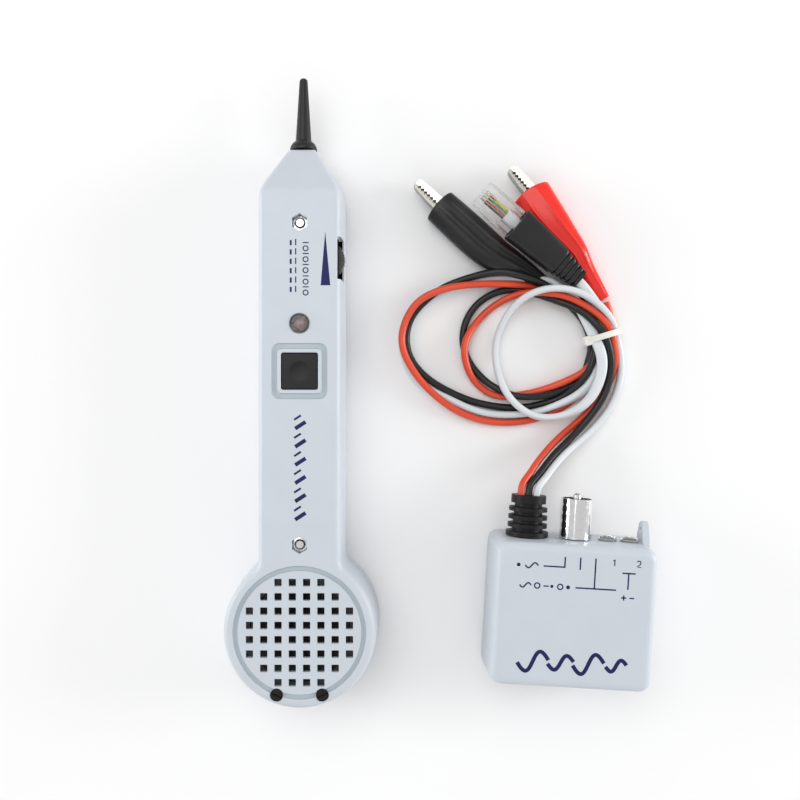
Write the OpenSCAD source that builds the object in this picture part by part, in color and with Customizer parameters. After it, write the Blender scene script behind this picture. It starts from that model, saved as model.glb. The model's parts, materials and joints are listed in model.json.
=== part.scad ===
// Tone probe kit: an inductive probe and a tone generator with its test leads, millimetres.
// Origin: centre of the probe's round speaker head, on the surface that both housings lie on.
// +Y runs from the head to the probe's tip, +Z points up through the front faces.

/* [Probe] */
// Radius of the round speaker head
head_r = 30.2; // [29:0.1:31]
// Half width of the straight handle
grip_hw = 16.7; // [16.2:0.1:17.2]
// Thickness of the probe from back to front face
probe_h = 31; // [30:0.5:33]
// Height of the seam between the two case halves
probe_seam = 10.5; // [9:0.5:12]
// Where the handle starts to taper, from the head's centre
shoulder_y = 171; // [168:0.5:174]
// Where the case ends and the tip starts
nose_y = 189.5; // [187:0.5:192]
// End of the conductive tip
tip_y = 218.6; // [214:0.1:222]
// Wall thickness of both cases
wall = 2.2; // [1.8:0.1:2.6]

/* [Speaker grille] */
// Side of each square sound hole
hole_w = 2.85; // [2:0.05:3.2]
// Spacing of the sound holes
hole_pitch = 5.5; // [5:0.1:5.6]

/* [Controls] */
// Side of the square push button
button_w = 13.5; // [12:0.1:13.8]
// How far the button goes down
button_travel = 1; // [0.5:0.1:1.5]
// Radius of the volume wheel
wheel_r = 8; // [7:0.1:8.2]
// Thickness of the volume wheel
wheel_t = 4; // [3:0.5:5]

/* [Tone generator] */
// Width of the generator case
gen_w = 63.4; // [60:0.2:66]
// Depth of the generator case, from foot to socket wall
gen_d = 56.4; // [54:0.2:60]
// Thickness of the generator
gen_h = 34; // [32:0.5:36]
// Height of the generator's seam
gen_seam = 8; // [7:0.5:10]
// Turn of the generator on the surface, clockwise
gen_turn = 3.4; // [0:0.1:6]

/* [Leads] */
// Diameter of the red and black leads
lead_d = 2.9; // [2.6:0.1:3]
// Width of the flat line cord
cord_w = 4.4; // [4:0.1:4.6]
// Thickness of the flat line cord
cord_t = 2.8; // [2.4:0.1:2.8]

/* [Hidden] */
$fn = 48;

// Colours
shell_grey = [0.72, 0.75, 0.79];
board_green = [0.1, 0.4, 0.25];
chrome = [0.8, 0.8, 0.82];
jet = [0.12, 0.12, 0.13];
boot_red = [0.85, 0.15, 0.12];
lead_red = [0.8, 0.28, 0.18];
cord_grey = [0.82, 0.85, 0.87];
nylon = [0.92, 0.91, 0.87];
brass = [0.75, 0.6, 0.3];
clear = [0.9, 0.93, 0.95, 0.5];

// Probe layout
bolt_ys = [158, 33.6];
bolt_r = 1.5;
led_y = 119;
button_y = 100.6;
wheel_x = 9.1;
wheel_y = 144.3;
wheel_z = 20;
notch_x = 14.4;
notch_w = 16.4;
tip_z = 14.5;
nose_hw = 5.7;
terminal_x = 8.8;
terminal_y = -24;
board_z = 13.2;
board_t = 1.6;
battery = [26.5, 48.5, 17.5];

// Generator layout, in the generator's own axes
gen_centre = [105.3, 6.5];
port_z = 17;
relief_x = -17.8;
toggle_x = 1.5;
led_xs = [14.4, 23.2];
lug_x = 27.6;
lug_w = 2.8;
top_y = gen_d / 2;
guard_l = 15.7;
guard_r = 6.35;
relief_l = 16;
gen_screw = [21, 8];

// Clips: mouth centre, heading of the jaws, and half-width, half-height and centre of the boot
clip_z = 4.9;
clip_pivot = -4;
black_mouth = [55.2, 169.4];
black_heading = 136;
red_mouth = [93.2, 174.4];
red_heading = 131;

// Plug: end of its boot and the way it points
plug_end = [112, 138.6, 8];
plug_heading = 141;
plug_lift = 9.9;

// Cable tie: centre of the bundle and the way across it
tie_at = [121.8, 115.6];
tie_turn = 17;

// ---------------------------------------------------------------- shared shapes

// Rounded rectangle about the origin.
module round_rect(w, d, r) {
    square([w - 2 * r, d], center = true);
    square([w, d - 2 * r], center = true);
    for (x = [-1, 1], y = [-1, 1])
        translate([x * (w / 2 - r), y * (d / 2 - r)])
            circle(r);
}

// Turns +Z into +Y, for what stands out of a wall or lies along a housing.
module along_y() {
    rotate([-90, 0, 0])
        children();
}

// Draws a (y, z) outline and gives it a width across X.
module side_profile(width) {
    rotate([90, 0, 90])
        linear_extrude(width, center = true)
            children();
}

function unit(v) = v / norm(v);
function place(s) = [s[0], s[1], s[2]];
function heading(line, i) =
    unit(place(line[min(i + 1, len(line) - 1)]) - place(line[max(i - 1, 0)]));

// Ring of a sweep. A station is [x, y, z, half width, half thickness, roll].
function ring(line, i, sides) =
    let (s = line[i], t = heading(line, i), across = unit(cross([0, 0, 1], t)),
         up = cross(t, across), a = across * cos(s[5]) + up * sin(s[5]),
         b = up * cos(s[5]) - across * sin(s[5]))
    [for (k = [0:sides - 1])
        place(s) + a * s[3] * cos((k + 0.5) * 360 / sides)
                 + b * s[4] * sin((k + 0.5) * 360 / sides)];

// Closed solid through all the stations of a line.
module sweep(line, sides) {
    n = len(line);
    polyhedron(
        points = [for (i = [0:n - 1]) each ring(line, i, sides)],
        faces = concat(
            [[for (k = [0:sides - 1]) k]],
            [for (i = [0:n - 2]) for (k = [0:sides - 1])
                [i * sides + k, (i + 1) * sides + k,
                 (i + 1) * sides + (k + 1) % sides, i * sides + (k + 1) % sides]],
            [[for (k = [sides - 1:-1:0]) (n - 1) * sides + k]]));
}

// A rectangle's corners turned into a nine-volt battery with two studs on its +X end.
module nine_volt_battery() {
    translate([-battery.y / 2, 0, battery.z / 2])
        rotate([0, 90, 0])
            linear_extrude(battery.y - 1.7)
                round_rect(battery.z, battery.x, 2);
    for (side = [-1, 1])
        translate([battery.y / 2 - 1.8, side * 6.35, battery.z / 2])
            rotate([0, 90, 0])
                cylinder(h = 1.8, r = side > 0 ? 3.4 : 2.8);
}

// Snap plate that presses on the studs, with its two leads.
module battery_snap(lead_l) {
    translate([0, 0, battery.z / 2])
        rotate([0, 90, 0])
            linear_extrude(3)
                round_rect(12, 25, 3);
    for (side = [-1, 1])
        translate([2.4, side * 3, battery.z / 2 - 4])
            rotate([0, 90, 0])
                cylinder(h = lead_l, r = 0.7, $fn = 16);
}

// ---------------------------------------------------------------- probe case

// Plan of the probe: round head, straight handle, filleted necks and tapered shoulders.
module probe_plan(inset) {
    hw = grip_hw - inset;
    r = head_r - inset;
    fillet = 5 + inset;
    centre = [hw + fillet, sqrt(pow(r + fillet, 2) - pow(hw + fillet, 2))];
    touch = centre * r / (r + fillet);
    circle(r, $fn = 96);
    translate([-hw, 0])
        square([2 * hw, shoulder_y]);
    polygon([[-hw, shoulder_y - 0.01], [-nose_hw + inset / 2, nose_y],
             [nose_hw - inset / 2, nose_y], [hw, shoulder_y - 0.01]]);
    for (side = [0, 1])
        mirror([side, 0])
            difference() {
                polygon([[hw - 1, centre.y], centre, touch, [hw - 1, touch.y - 1]]);
                translate(centre)
                    circle(fillet);
            }
}

// Whole probe body, inset on every side for the hollow.
module probe_block(inset) {
    intersection() {
        linear_extrude(probe_h)
            probe_plan(inset);
        side_profile(80)
            polygon([[-head_r - 1, inset], [shoulder_y - inset / 2, inset],
                     [nose_y - inset / 2, 9 + inset], [nose_y - inset / 2, 20 - inset],
                     [shoulder_y - inset / 2, probe_h - inset], [-head_r - 1, probe_h - inset]]);
    }
}

// Everything of its children above or below the probe's seam.
module keep_z(low, high) {
    intersection() {
        children();
        translate([-100, -100, low])
            cube([300, 400, high - low]);
    }
}

module grille_holes() {
    rows = [4, 6, 8, 8, 8, 8, 6, 4];
    for (j = [0:7], i = [0:rows[j] - 1])
        translate([(i - (rows[j] - 1) / 2) * hole_pitch, (j - 3.5) * hole_pitch, probe_h - 1.25])
            cube([hole_w, hole_w, 4], center = true);
}

// Frame line round the button and the groove round the grille.
module face_grooves() {
    translate([0, button_y, probe_h - 0.6])
        linear_extrude(1)
            difference() {
                round_rect(21.3, 21.3, 3);
                round_rect(17.3, 17.3, 2);
            }
    translate([0, 0, probe_h - 0.6])
        rotate_extrude($fn = 96)
            translate([23.95, 0])
                square([1.6, 1]);
}

module probe_front_shell() {
    color(shell_grey)
        difference() {
            union() {
                difference() {
                    keep_z(probe_seam, probe_h) probe_block(0);
                    probe_block(wall);
                }
                for (y = bolt_ys)
                    translate([0, y, probe_seam])
                        cylinder(h = probe_h - probe_seam - 1, r = 4.2);
            }
            for (y = bolt_ys)
                translate([0, y, 0]) {
                    cylinder(h = probe_h, r = bolt_r + 0.1);
                    translate([0, 0, 25.6])
                        rotate([0, 0, 30])
                            cylinder(h = 8, r = 3.35, $fn = 6);
                }
            grille_holes();
            face_grooves();
            translate([0, led_y, 20])
                cylinder(h = 20, r = 3.85);
            translate([0, button_y, 20])
                linear_extrude(20)
                    round_rect(button_w + 0.8, button_w + 0.8, 0.8);
            translate([notch_x, wheel_y - notch_w / 2, 18])
                cube([6, notch_w, 20]);
            for (side = [-1, 1])
                translate([side * terminal_x, terminal_y, 20])
                    cylinder(h = 20, r = 2.45);
            translate([0, nose_y - 8, tip_z])
                along_y() cylinder(h = 12, r = 3.3);
        }
}

module probe_rear_shell() {
    color(shell_grey)
        difference() {
            union() {
                difference() {
                    keep_z(0, probe_seam) probe_block(0);
                    probe_block(wall);
                }
                for (y = bolt_ys)
                    translate([0, y, 0])
                        cylinder(h = probe_seam, r = 4.2);
            }
            for (y = bolt_ys)
                translate([0, y, -1]) {
                    cylinder(h = 20, r = bolt_r + 0.1);
                    cylinder(h = 4.2, r = 3);
                }
        }
}

module probe_case_bolts() {
    color(chrome)
        for (y = bolt_ys)
            translate([0, y, 0])
                difference() {
                    union() {
                        translate([0, 0, 0.6])
                            cylinder(h = 2.6, r = 2.8);
                        cylinder(h = 29, r = bolt_r - 0.05);
                    }
                    translate([-0.4, -4, -1])
                        cube([0.8, 8, 2.4]);
                    translate([0, 0, -1])
                        cylinder(h = 1.6, r = 3);
                }
}

module probe_case_nuts() {
    color(chrome)
        for (y = bolt_ys)
            translate([0, y, 25.6])
                difference() {
                    rotate([0, 0, 30])
                        cylinder(h = 2.4, r = 3.17, $fn = 6);
                    translate([0, 0, -1])
                        cylinder(h = 5, r = bolt_r);
                }
}

// ---------------------------------------------------------------- probe tip

module probe_tip() {
    color(jet)
        translate([0, nose_y, tip_z])
            along_y() {
                translate([0, 0, -6])
                    cylinder(h = 6.5, r = 3.2);
                rotate_extrude()
                    polygon([[0, 0], [5.4, 0], [5.35, 1], [4.95, 2], [4.2, 3], [3.15, 3.8],
                             [1.65, tip_y - nose_y - 1.5], [1.5, tip_y - nose_y - 0.8],
                             [0.9, tip_y - nose_y - 0.2], [0, tip_y - nose_y]]);
            }
}

// Spring strip from the board to the rear of the tip.
module tip_contact() {
    color(brass) {
        translate([5.2, 149, board_z + board_t])
            cube([1.8, 28, 0.5]);
        translate([-1, 175.2, board_z + board_t])
            cube([8, 1.8, 0.5]);
        translate([-0.9, 175.2, tip_z - 2])
            cube([1.8, 8.2, 4]);
    }
}

// ---------------------------------------------------------------- probe electronics

module probe_circuit_board() {
    color(board_green) {
        translate([-13.8, 92, board_z])
            cube([27.6, 61, board_t]);
        for (chip = [[-9, 125], [-10, 138]])
            translate([chip.x, chip.y, board_z + board_t])
                cube([6.5, 5, 1.6]);
    }
}

module volume_pot() {
    color(jet)
        difference() {
            translate([wheel_x - 4.6, wheel_y - 4.6, board_z + board_t])
                cube([9.2, 9.2, 4.4]);
            translate([wheel_x, wheel_y, board_z + board_t + 1])
                cylinder(h = 5, r = 2.05);
        }
}

module volume_wheel() {
    grips = 40;
    color(jet)
        translate([wheel_x, wheel_y, wheel_z]) {
            difference() {
                cylinder(h = wheel_t, r = wheel_r, $fn = 96);
                for (i = [0:grips - 1])
                    rotate([0, 0, i * 360 / grips])
                        translate([wheel_r + 0.15, 0, -1])
                            cylinder(h = wheel_t + 2, r = 0.4, $fn = 16);
            }
            translate([0, 0, -4])
                cylinder(h = 5, r = 2);
        }
}

module button_switch() {
    color(jet)
        translate([0, button_y, board_z + board_t]) {
            translate([-6, -6, 0])
                cube([12, 12, 6.6]);
            cylinder(h = 8, r = 3);
        }
}

module power_button() {
    dish_r = 26;
    color(jet)
        translate([0, button_y, 24])
            difference() {
                union() {
                    linear_extrude(6.8)
                        round_rect(button_w, button_w, 0.6);
                    linear_extrude(1.2)
                        round_rect(button_w + 2, button_w + 2, 0.6);
                }
                translate([0, 0, 6.4 + dish_r])
                    sphere(r = dish_r - 0.1, $fn = 96);
                translate([0, 0, -1])
                    cylinder(h = 4, r = 3.6);
            }
}

module led_lamp() {
    color([0.7, 0.1, 0.1])
        translate([0, led_y, 0]) {
            translate([0, 0, 20])
                cylinder(h = 1, r = 2.9);
            translate([0, 0, 20.9])
                cylinder(h = 4, r = 2.5);
            translate([0, 0, 24.8])
                sphere(r = 2.4);
            for (side = [-1, 1])
                translate([side * 1.27 - 0.25, -0.25, board_z + board_t])
                    cube([0.5, 0.5, 5.3]);
        }
}

module led_lens() {
    color(clear)
        translate([0, led_y, probe_h - 2.7])
            rotate_extrude()
                polygon([[0, 1], [2.6, 1], [2.6, -0.3], [4.7, -0.3], [4.7, 0.45], [3.8, 0.45],
                         [3.8, 2.9], [3, 3.3], [1.8, 3.55], [0, 3.65]]);
}

module speaker_basket() {
    color([0.5, 0.5, 0.52])
        rotate_extrude($fn = 96)
            polygon([[22.4, 28.7], [19.6, 28.7], [19.6, 28], [12, 19.6], [12, 18.6],
                     [13, 18.6], [21, 26.6], [22.4, 26.6]]);
}

module speaker_cone() {
    color(jet)
        rotate_extrude($fn = 96)
            polygon([[0, 22.6], [4, 22.2], [5, 21.2], [7, 21.2], [19.2, 28], [19.2, 28.5],
                     [7, 21.7], [5.2, 21.7], [4, 22.8], [0, 23.2]]);
}

module speaker_magnet() {
    color([0.35, 0.35, 0.37])
        translate([0, 0, 13]) {
            cylinder(h = 5.6, r = 13);
            cylinder(h = 8, r = 6);
        }
}

module probe_battery() {
    color([0.2, 0.3, 0.6])
        translate([0, 62.75, 5])
            rotate([0, 0, 90]) nine_volt_battery();
}

module probe_battery_snap() {
    color(jet)
        translate([0, 62.75 + battery.y / 2, 5])
            rotate([0, 0, 90]) battery_snap(1.4);
}

module headset_terminals() {
    color(jet)
        for (side = [-1, 1])
            translate([side * terminal_x, terminal_y, 0])
                difference() {
                    union() {
                        translate([0, 0, 22])
                            cylinder(h = 7, r = 1.35);
                        translate([0, 0, 28.8])
                            cylinder(h = 2.4, r = 2.35);
                    }
                    rotate([0, 0, side * 25])
                        translate([-3, -0.35, 30.4])
                            cube([6, 0.7, 2]);
                }
}

module terminal_inserts() {
    color(brass)
        for (side = [-1, 1])
            translate([side * terminal_x, terminal_y, 20])
                difference() {
                    cylinder(h = 8.8, r = 2.1);
                    translate([0, 0, 1.5])
                        cylinder(h = 8, r = 1.4);
                }
}

// ---------------------------------------------------------------- generator case

// Puts the generator's own axes where it lies.
module on_generator() {
    translate([gen_centre.x, gen_centre.y, 0])
        rotate([0, 0, -gen_turn])
            children();
}

module gen_block(inset, low, high) {
    translate([0, 0, low])
        linear_extrude(high - low)
            round_rect(gen_w - 2 * inset, gen_d - 2 * inset, 4.5 - inset / 2);
}

// Places its children on the socket wall, pointing out of it.
module on_top_wall(x, back) {
    translate([x, top_y - back, port_z])
        along_y()
            children();
}

module lanyard_lug() {
    translate([lug_x, top_y - 1, 10])
        cube([lug_w, 7.2, 12]);
    translate([lug_x, top_y + 4.4, 16])
        rotate([0, 90, 0])
            cylinder(h = lug_w, r = 3.8);
}

module generator_front_shell() {
    color(shell_grey)
        on_generator()
            difference() {
                union() {
                    difference() {
                        gen_block(0, gen_seam, gen_h);
                        gen_block(wall, gen_seam - 1, gen_h - wall);
                    }
                    lanyard_lug();
                    translate([gen_screw.x, gen_screw.y, gen_seam])
                        cylinder(h = gen_h - gen_seam - 1, r = 3.6);
                }
                translate([lug_x - 1, top_y + 4.4, 16])
                    rotate([0, 90, 0])
                        cylinder(h = lug_w + 2, r = 1.25);
                translate([gen_screw.x, gen_screw.y, gen_seam - 1])
                    cylinder(h = 14, r = 1.45);
                on_top_wall(relief_x, 6) cylinder(h = 10, r = 5.6);
                on_top_wall(toggle_x, 6) cylinder(h = 10, r = 3.1);
                for (x = led_xs)
                    on_top_wall(x, 6) cylinder(h = 10, r = 3.65);
            }
}

module generator_rear_shell() {
    color(shell_grey)
        on_generator()
            difference() {
                union() {
                    difference() {
                        gen_block(0, 0, gen_seam);
                        gen_block(wall, wall, gen_seam + 1);
                    }
                    translate([gen_screw.x, gen_screw.y, 0])
                        cylinder(h = gen_seam, r = 3.6);
                }
                translate([gen_screw.x, gen_screw.y, -1]) {
                    cylinder(h = 12, r = 1.6);
                    cylinder(h = 4, r = 3);
                }
            }
}

module generator_case_screw() {
    color(chrome)
        on_generator()
            translate([gen_screw.x, gen_screw.y, 0])
                difference() {
                    union() {
                        translate([0, 0, 0.8])
                            cylinder(h = 2.2, r = 2.7);
                        translate([0, 0, 2])
                            cylinder(h = 16, r = 1.4);
                    }
                    for (turn = [0, 90])
                        rotate([0, 0, turn])
                            translate([-1.6, -0.35, 0])
                                cube([3.2, 0.7, 1.9]);
                }
}

// ---------------------------------------------------------------- generator electronics

module generator_circuit_board() {
    color(board_green)
        on_generator()
            difference() {
                union() {
                    translate([-27, 2.5, 24])
                        cube([54, 21.5, board_t]);
                    for (chip = [[-16, 10], [6, 6]])
                        translate([chip.x, chip.y, 24 + board_t - 0.1])
                            cube([8, 6, 1.7]);
                }
                translate([gen_screw.x, gen_screw.y, 20])
                    cylinder(h = 10, r = 4);
            }
}

module generator_battery() {
    color([0.2, 0.3, 0.6])
        on_generator()
            translate([-1.5, -11.5, 4]) nine_volt_battery();
}

module generator_battery_snap() {
    color(jet)
        on_generator()
            translate([-1.5 + battery.y / 2, -11.5, 4]) battery_snap(3);
}

// Ribbed grommet: inner collar, wall groove, foot flange, three ribs and an end flange.
module strain_relief() {
    rib_pitch = 3.2;
    color(jet)
        on_generator()
            on_top_wall(relief_x, 0)
                rotate_extrude()
                    polygon(concat(
                        [[0, -4.4], [6.6, -4.4], [6.6, -wall], [5.5, -wall], [5.5, 0],
                         [8.4, 0], [8.4, 1.7]],
                        [for (i = [0:2]) each
                            [[6.1 - i * 0.2, 1.7 + i * rib_pitch + 0.01],
                             [6.1 - i * 0.2, 3.3 + i * rib_pitch],
                             [7.8 - i * 0.1, 3.3 + i * rib_pitch],
                             [7.8 - i * 0.1, 4.8 + i * rib_pitch]]],
                        [[5.4, 11.3], [5.4, 12.9], [6.9, 12.9], [6.9, relief_l],
                         [0, relief_l]]));
}

module toggle_switch_body() {
    color([0.2, 0.3, 0.55])
        on_generator()
            difference() {
                union() {
                    translate([toggle_x - 6.5, top_y - wall - 13, port_z - 6.5])
                        cube([13, 13, 13]);
                    on_top_wall(toggle_x, wall + 1) cylinder(h = 6.6, r = 3);
                }
                on_top_wall(toggle_x, wall + 2.6) cylinder(h = 12, r = 2.45);
            }
}

module toggle_nut() {
    color(chrome)
        on_generator()
            on_top_wall(toggle_x, -0.9)
                difference() {
                    cylinder(h = 2, r = 4.6, $fn = 6);
                    translate([0, 0, -1])
                        cylinder(h = 4, r = 3.05);
                }
}

module toggle_guard() {
    color(chrome)
        on_generator()
            on_top_wall(toggle_x, 0)
                difference() {
                    cylinder(h = guard_l, r = guard_r);
                    translate([0, 0, 0.9])
                        cylinder(h = guard_l, r = guard_r - 0.65);
                    translate([0, 0, -1])
                        cylinder(h = 4, r = 3.05);
                }
}

// Bat lever with its pivot ball inside the bushing.
module toggle_lever() {
    color(chrome)
        on_generator()
            on_top_wall(toggle_x, 2.6)
                rotate_extrude()
                    polygon([[0, -1.6], [1, -1.3], [1.6, 0], [1.2, 1.2], [1.15, 5],
                             [1.6, guard_l + 2.6], [1.5, guard_l + 4], [0.9, guard_l + 4.6],
                             [0, guard_l + 4.8]]);
}

module line_led(x, tint) {
    color(tint)
        on_generator() {
            on_top_wall(x, wall + 1) cylinder(h = 1, r = 3.9);
            on_top_wall(x, wall + 0.5) cylinder(h = wall + 1.1, r = 3.6);
            on_top_wall(x, -0.5)
                rotate_extrude()
                    polygon([[0, 0], [3.6, 0], [2.9, 0.8], [1.6, 1.2], [0, 1.3]]);
            for (side = [-1, 1])
                translate([x + side * 1.27 - 0.3, top_y - wall - 1.9, port_z - 0.3]) {
                    cube([0.6, 1.2, 0.6]);
                    cube([0.6, 0.6, 24 - port_z + 0.3]);
                }
        }
}

module line_1_led() {
    line_led(led_xs[0], clear);
}

module line_2_led() {
    line_led(led_xs[1], clear);
}

// ---------------------------------------------------------------- clips

jaw_l = 13.4;
tooth = 1.7;

module on_clip(mouth, turn) {
    translate([mouth.x, mouth.y, clip_z])
        rotate([0, 0, turn])
            children();
}

// Toothed side wall of a jaw on the -Y side of the clip's middle.
module jaw_wall_outline() {
    polygon(concat(
        [[-3, 0], [-1.2, -0.1]],
        [for (i = [0:7]) each [[i * tooth - 0.7, -0.75], [i * tooth + 0.15, -0.1]]],
        [[jaw_l, -0.1], [jaw_l, -1.4], [jaw_l - 1.2, -1.9], [0, -2.9], [-4, -3.2],
         [-9, -3.7], [-9, -2.4], [-6, -0.8]]));
    translate([clip_pivot, 0])
        circle(2);
}

// Spine plate along the back of a jaw, running on into the finger tab.
module jaw_spine_outline() {
    polygon([[jaw_l, -1.4], [jaw_l - 1.2, -1.9], [0, -2.9], [-4, -3.2], [-9, -3.7],
             [-13, -4.6], [-13, -4.1], [-9, -3.2], [-4, -2.7], [0, -2.4],
             [jaw_l - 1.4, -1.4]]);
}

// One jaw: two toothed walls whose outer faces are half_w from the middle, and a spine.
module jaw(half_w) {
    difference() {
        union() {
            for (side = [-1, 1])
                translate([0, 0, side * (half_w - 0.22) - 0.22])
                    linear_extrude(0.44)
                        jaw_wall_outline();
            linear_extrude(2 * half_w, center = true)
                jaw_spine_outline();
        }
        translate([clip_pivot, 0, -5])
            cylinder(h = 10, r = 0.84);
    }
}

module fixed_jaw(mouth, turn) {
    color(chrome)
        on_clip(mouth, turn)
            jaw(2);
}

module moving_jaw(mouth, turn) {
    color(chrome)
        on_clip(mouth, turn)
            mirror([0, 1, 0]) jaw(2.5);
}

// Torsion spring: coil round the rivet with a leg to each finger tab.
module clip_spring(mouth, turn) {
    color([0.5, 0.5, 0.52])
        on_clip(mouth, turn)
            translate([clip_pivot, 0, 0]) {
                difference() {
                    cylinder(h = 2.6, r = 1.7, center = true);
                    cylinder(h = 4, r = 1, center = true);
                }
                for (side = [-1, 1])
                    translate([0, side * 1.3, side * 0.9])
                        rotate([0, -90, side * -14])
                            cylinder(h = 8, r = 0.35, $fn = 16);
            }
}

module clip_rivet(mouth, turn) {
    color(chrome)
        on_clip(mouth, turn)
            translate([clip_pivot, 0, 0]) {
                cylinder(h = 6, r = 0.8, center = true);
                for (side = [-1, 1])
                    translate([0, 0, side * 2.8])
                        cylinder(h = 0.5, r = 1.5, center = true);
            }
}

module red_clip_fixed_jaw() {
    fixed_jaw(red_mouth, red_heading);
}

module red_clip_moving_jaw() {
    moving_jaw(red_mouth, red_heading);
}

module red_clip_spring() {
    clip_spring(red_mouth, red_heading);
}

module red_clip_rivet() {
    clip_rivet(red_mouth, red_heading);
}

module black_clip_fixed_jaw() {
    fixed_jaw(black_mouth, black_heading);
}

module black_clip_moving_jaw() {
    moving_jaw(black_mouth, black_heading);
}

module black_clip_spring() {
    clip_spring(black_mouth, black_heading);
}

module black_clip_rivet() {
    clip_rivet(black_mouth, black_heading);
}

// Boot stations: place, half width, half height, roll, from the mouth to the lead.
black_boot_line = [
    [55.1, 169.3, 4.9, 7.3, 4.9, 0], [61, 163.9, 4.9, 7.6, 4.9, 0],
    [67, 158.4, 4.9, 7.8, 4.9, 0], [72.5, 153.4, 4.9, 7.7, 4.8, 0],
    [77.5, 149.3, 4.9, 7.2, 4.7, 0], [83.7, 146.2, 4.5, 6, 4.4, 0],
    [89.1, 143.6, 3.8, 4.5, 3.7, 0], [94.8, 140.2, 3.1, 3.4, 3, 0],
    [99.8, 136.9, 2.6, 2.6, 2.5, 0]
];
red_boot_line = [
    [92.7, 174.4, 4.9, 8.2, 4.9, 0], [97.1, 167.6, 4.9, 8, 4.9, 0],
    [102.5, 160.7, 4.9, 7.1, 4.8, 0], [107.7, 154.9, 4.7, 5.6, 4.5, 0],
    [111.7, 150.5, 4.3, 4.6, 4.1, 0], [114.1, 145.6, 3.7, 3.7, 3.5, 0],
    [118.8, 138.2, 3, 3.1, 2.9, 0], [123.2, 131.4, 2.5, 2.4, 2.4, 0]
];

// Soft sleeve: a swept skin, hollow from the mouth over its first stations.
module boot(line, hollow, turn) {
    skin = 1;
    lip = [cos(turn), sin(turn), 0, 0, 0, 0];
    difference() {
        sweep(line, 24);
        sweep([for (i = [0:hollow]) line[i] - [0, 0, 0, skin, skin, 0]
               + (i == 0 ? lip : [0, 0, 0, 0, 0, 0])], 24);
    }
}

module red_clip_boot() {
    color(boot_red)
        boot(red_boot_line, 4, red_heading);
}

module black_clip_boot() {
    color(jet)
        boot(black_boot_line, 4, black_heading);
}

// ---------------------------------------------------------------- modular plug

// Plug axes: X from the end of the boot to the nose, Y across, Z through the contact side.
module on_plug() {
    translate(plug_end)
        rotate([0, 0, plug_heading])
            rotate([0, -plug_lift, 0])
                children();
}

module modular_plug() {
    color(clear)
        on_plug()
            difference() {
                translate([32.7, -5.5, -3.3])
                    cube([20.8, 11, 6.6]);
                translate([31.7, -3, -1])
                    cube([9, 6, 3.2]);
                for (i = [-1.5:1.5]) {
                    translate([32.7, i * 1.2 - 0.5, -0.4])
                        cube([19, 1, 1]);
                    translate([47.8, i * 1.2 - 0.2, 0.4])
                        cube([5, 0.4, 4]);
                }
            }
}

module plug_contacts() {
    color(brass)
        on_plug()
            for (i = [-1.5:1.5])
                translate([48, i * 1.2 - 0.15, 0.8])
                    cube([4.4, 0.3, 2.2]);
}

module plug_conductors() {
    tints = ["yellow", "green", "red", "black"];
    on_plug()
        for (i = [0:3])
            color(tints[i])
                translate([40.7, (1.5 - i) * 1.2, 0.1])
                    rotate([0, 90, 0])
                        cylinder(h = 9.5, r = 0.45, $fn = 16);
}

// Latch arm: hangs from the nose and runs back under the plug.
module plug_latch() {
    color(clear)
        on_plug()
            translate([0, 3, 0])
                rotate([90, 0, 0])
                    linear_extrude(6)
                        polygon([[52.7, -3.5], [51.2, -3.5], [46.7, -4.4], [37.7, -5.9],
                                 [37.7, -6.7], [46.7, -5.4], [51.5, -4.4], [52.7, -4.2]]);
}

module plug_boot() {
    ribs = 5;
    rib_pitch = 2.3;
    color(jet)
        on_plug()
            difference() {
                union() {
                    linear_extrude(9, center = true)
                        polygon([[11, -5.8], [34.7, -7.1], [34.7, 7.1], [11, 5.8]]);
                    linear_extrude(6, center = true)
                        polygon([[0, -3], [12, -4.8], [12, 4.8], [0, 3]]);
                    for (i = [0:ribs - 1])
                        translate([i * rib_pitch, -3.6 - i * 0.55, -3.2 - i * 0.25])
                            cube([1.6, 7.2 + i * 1.1, 6.4 + i * 0.5]);
                }
                translate([32.6, -5.55, -3.35])
                    cube([4, 11.1, 6.7]);
            }
}

// ---------------------------------------------------------------- leads

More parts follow.
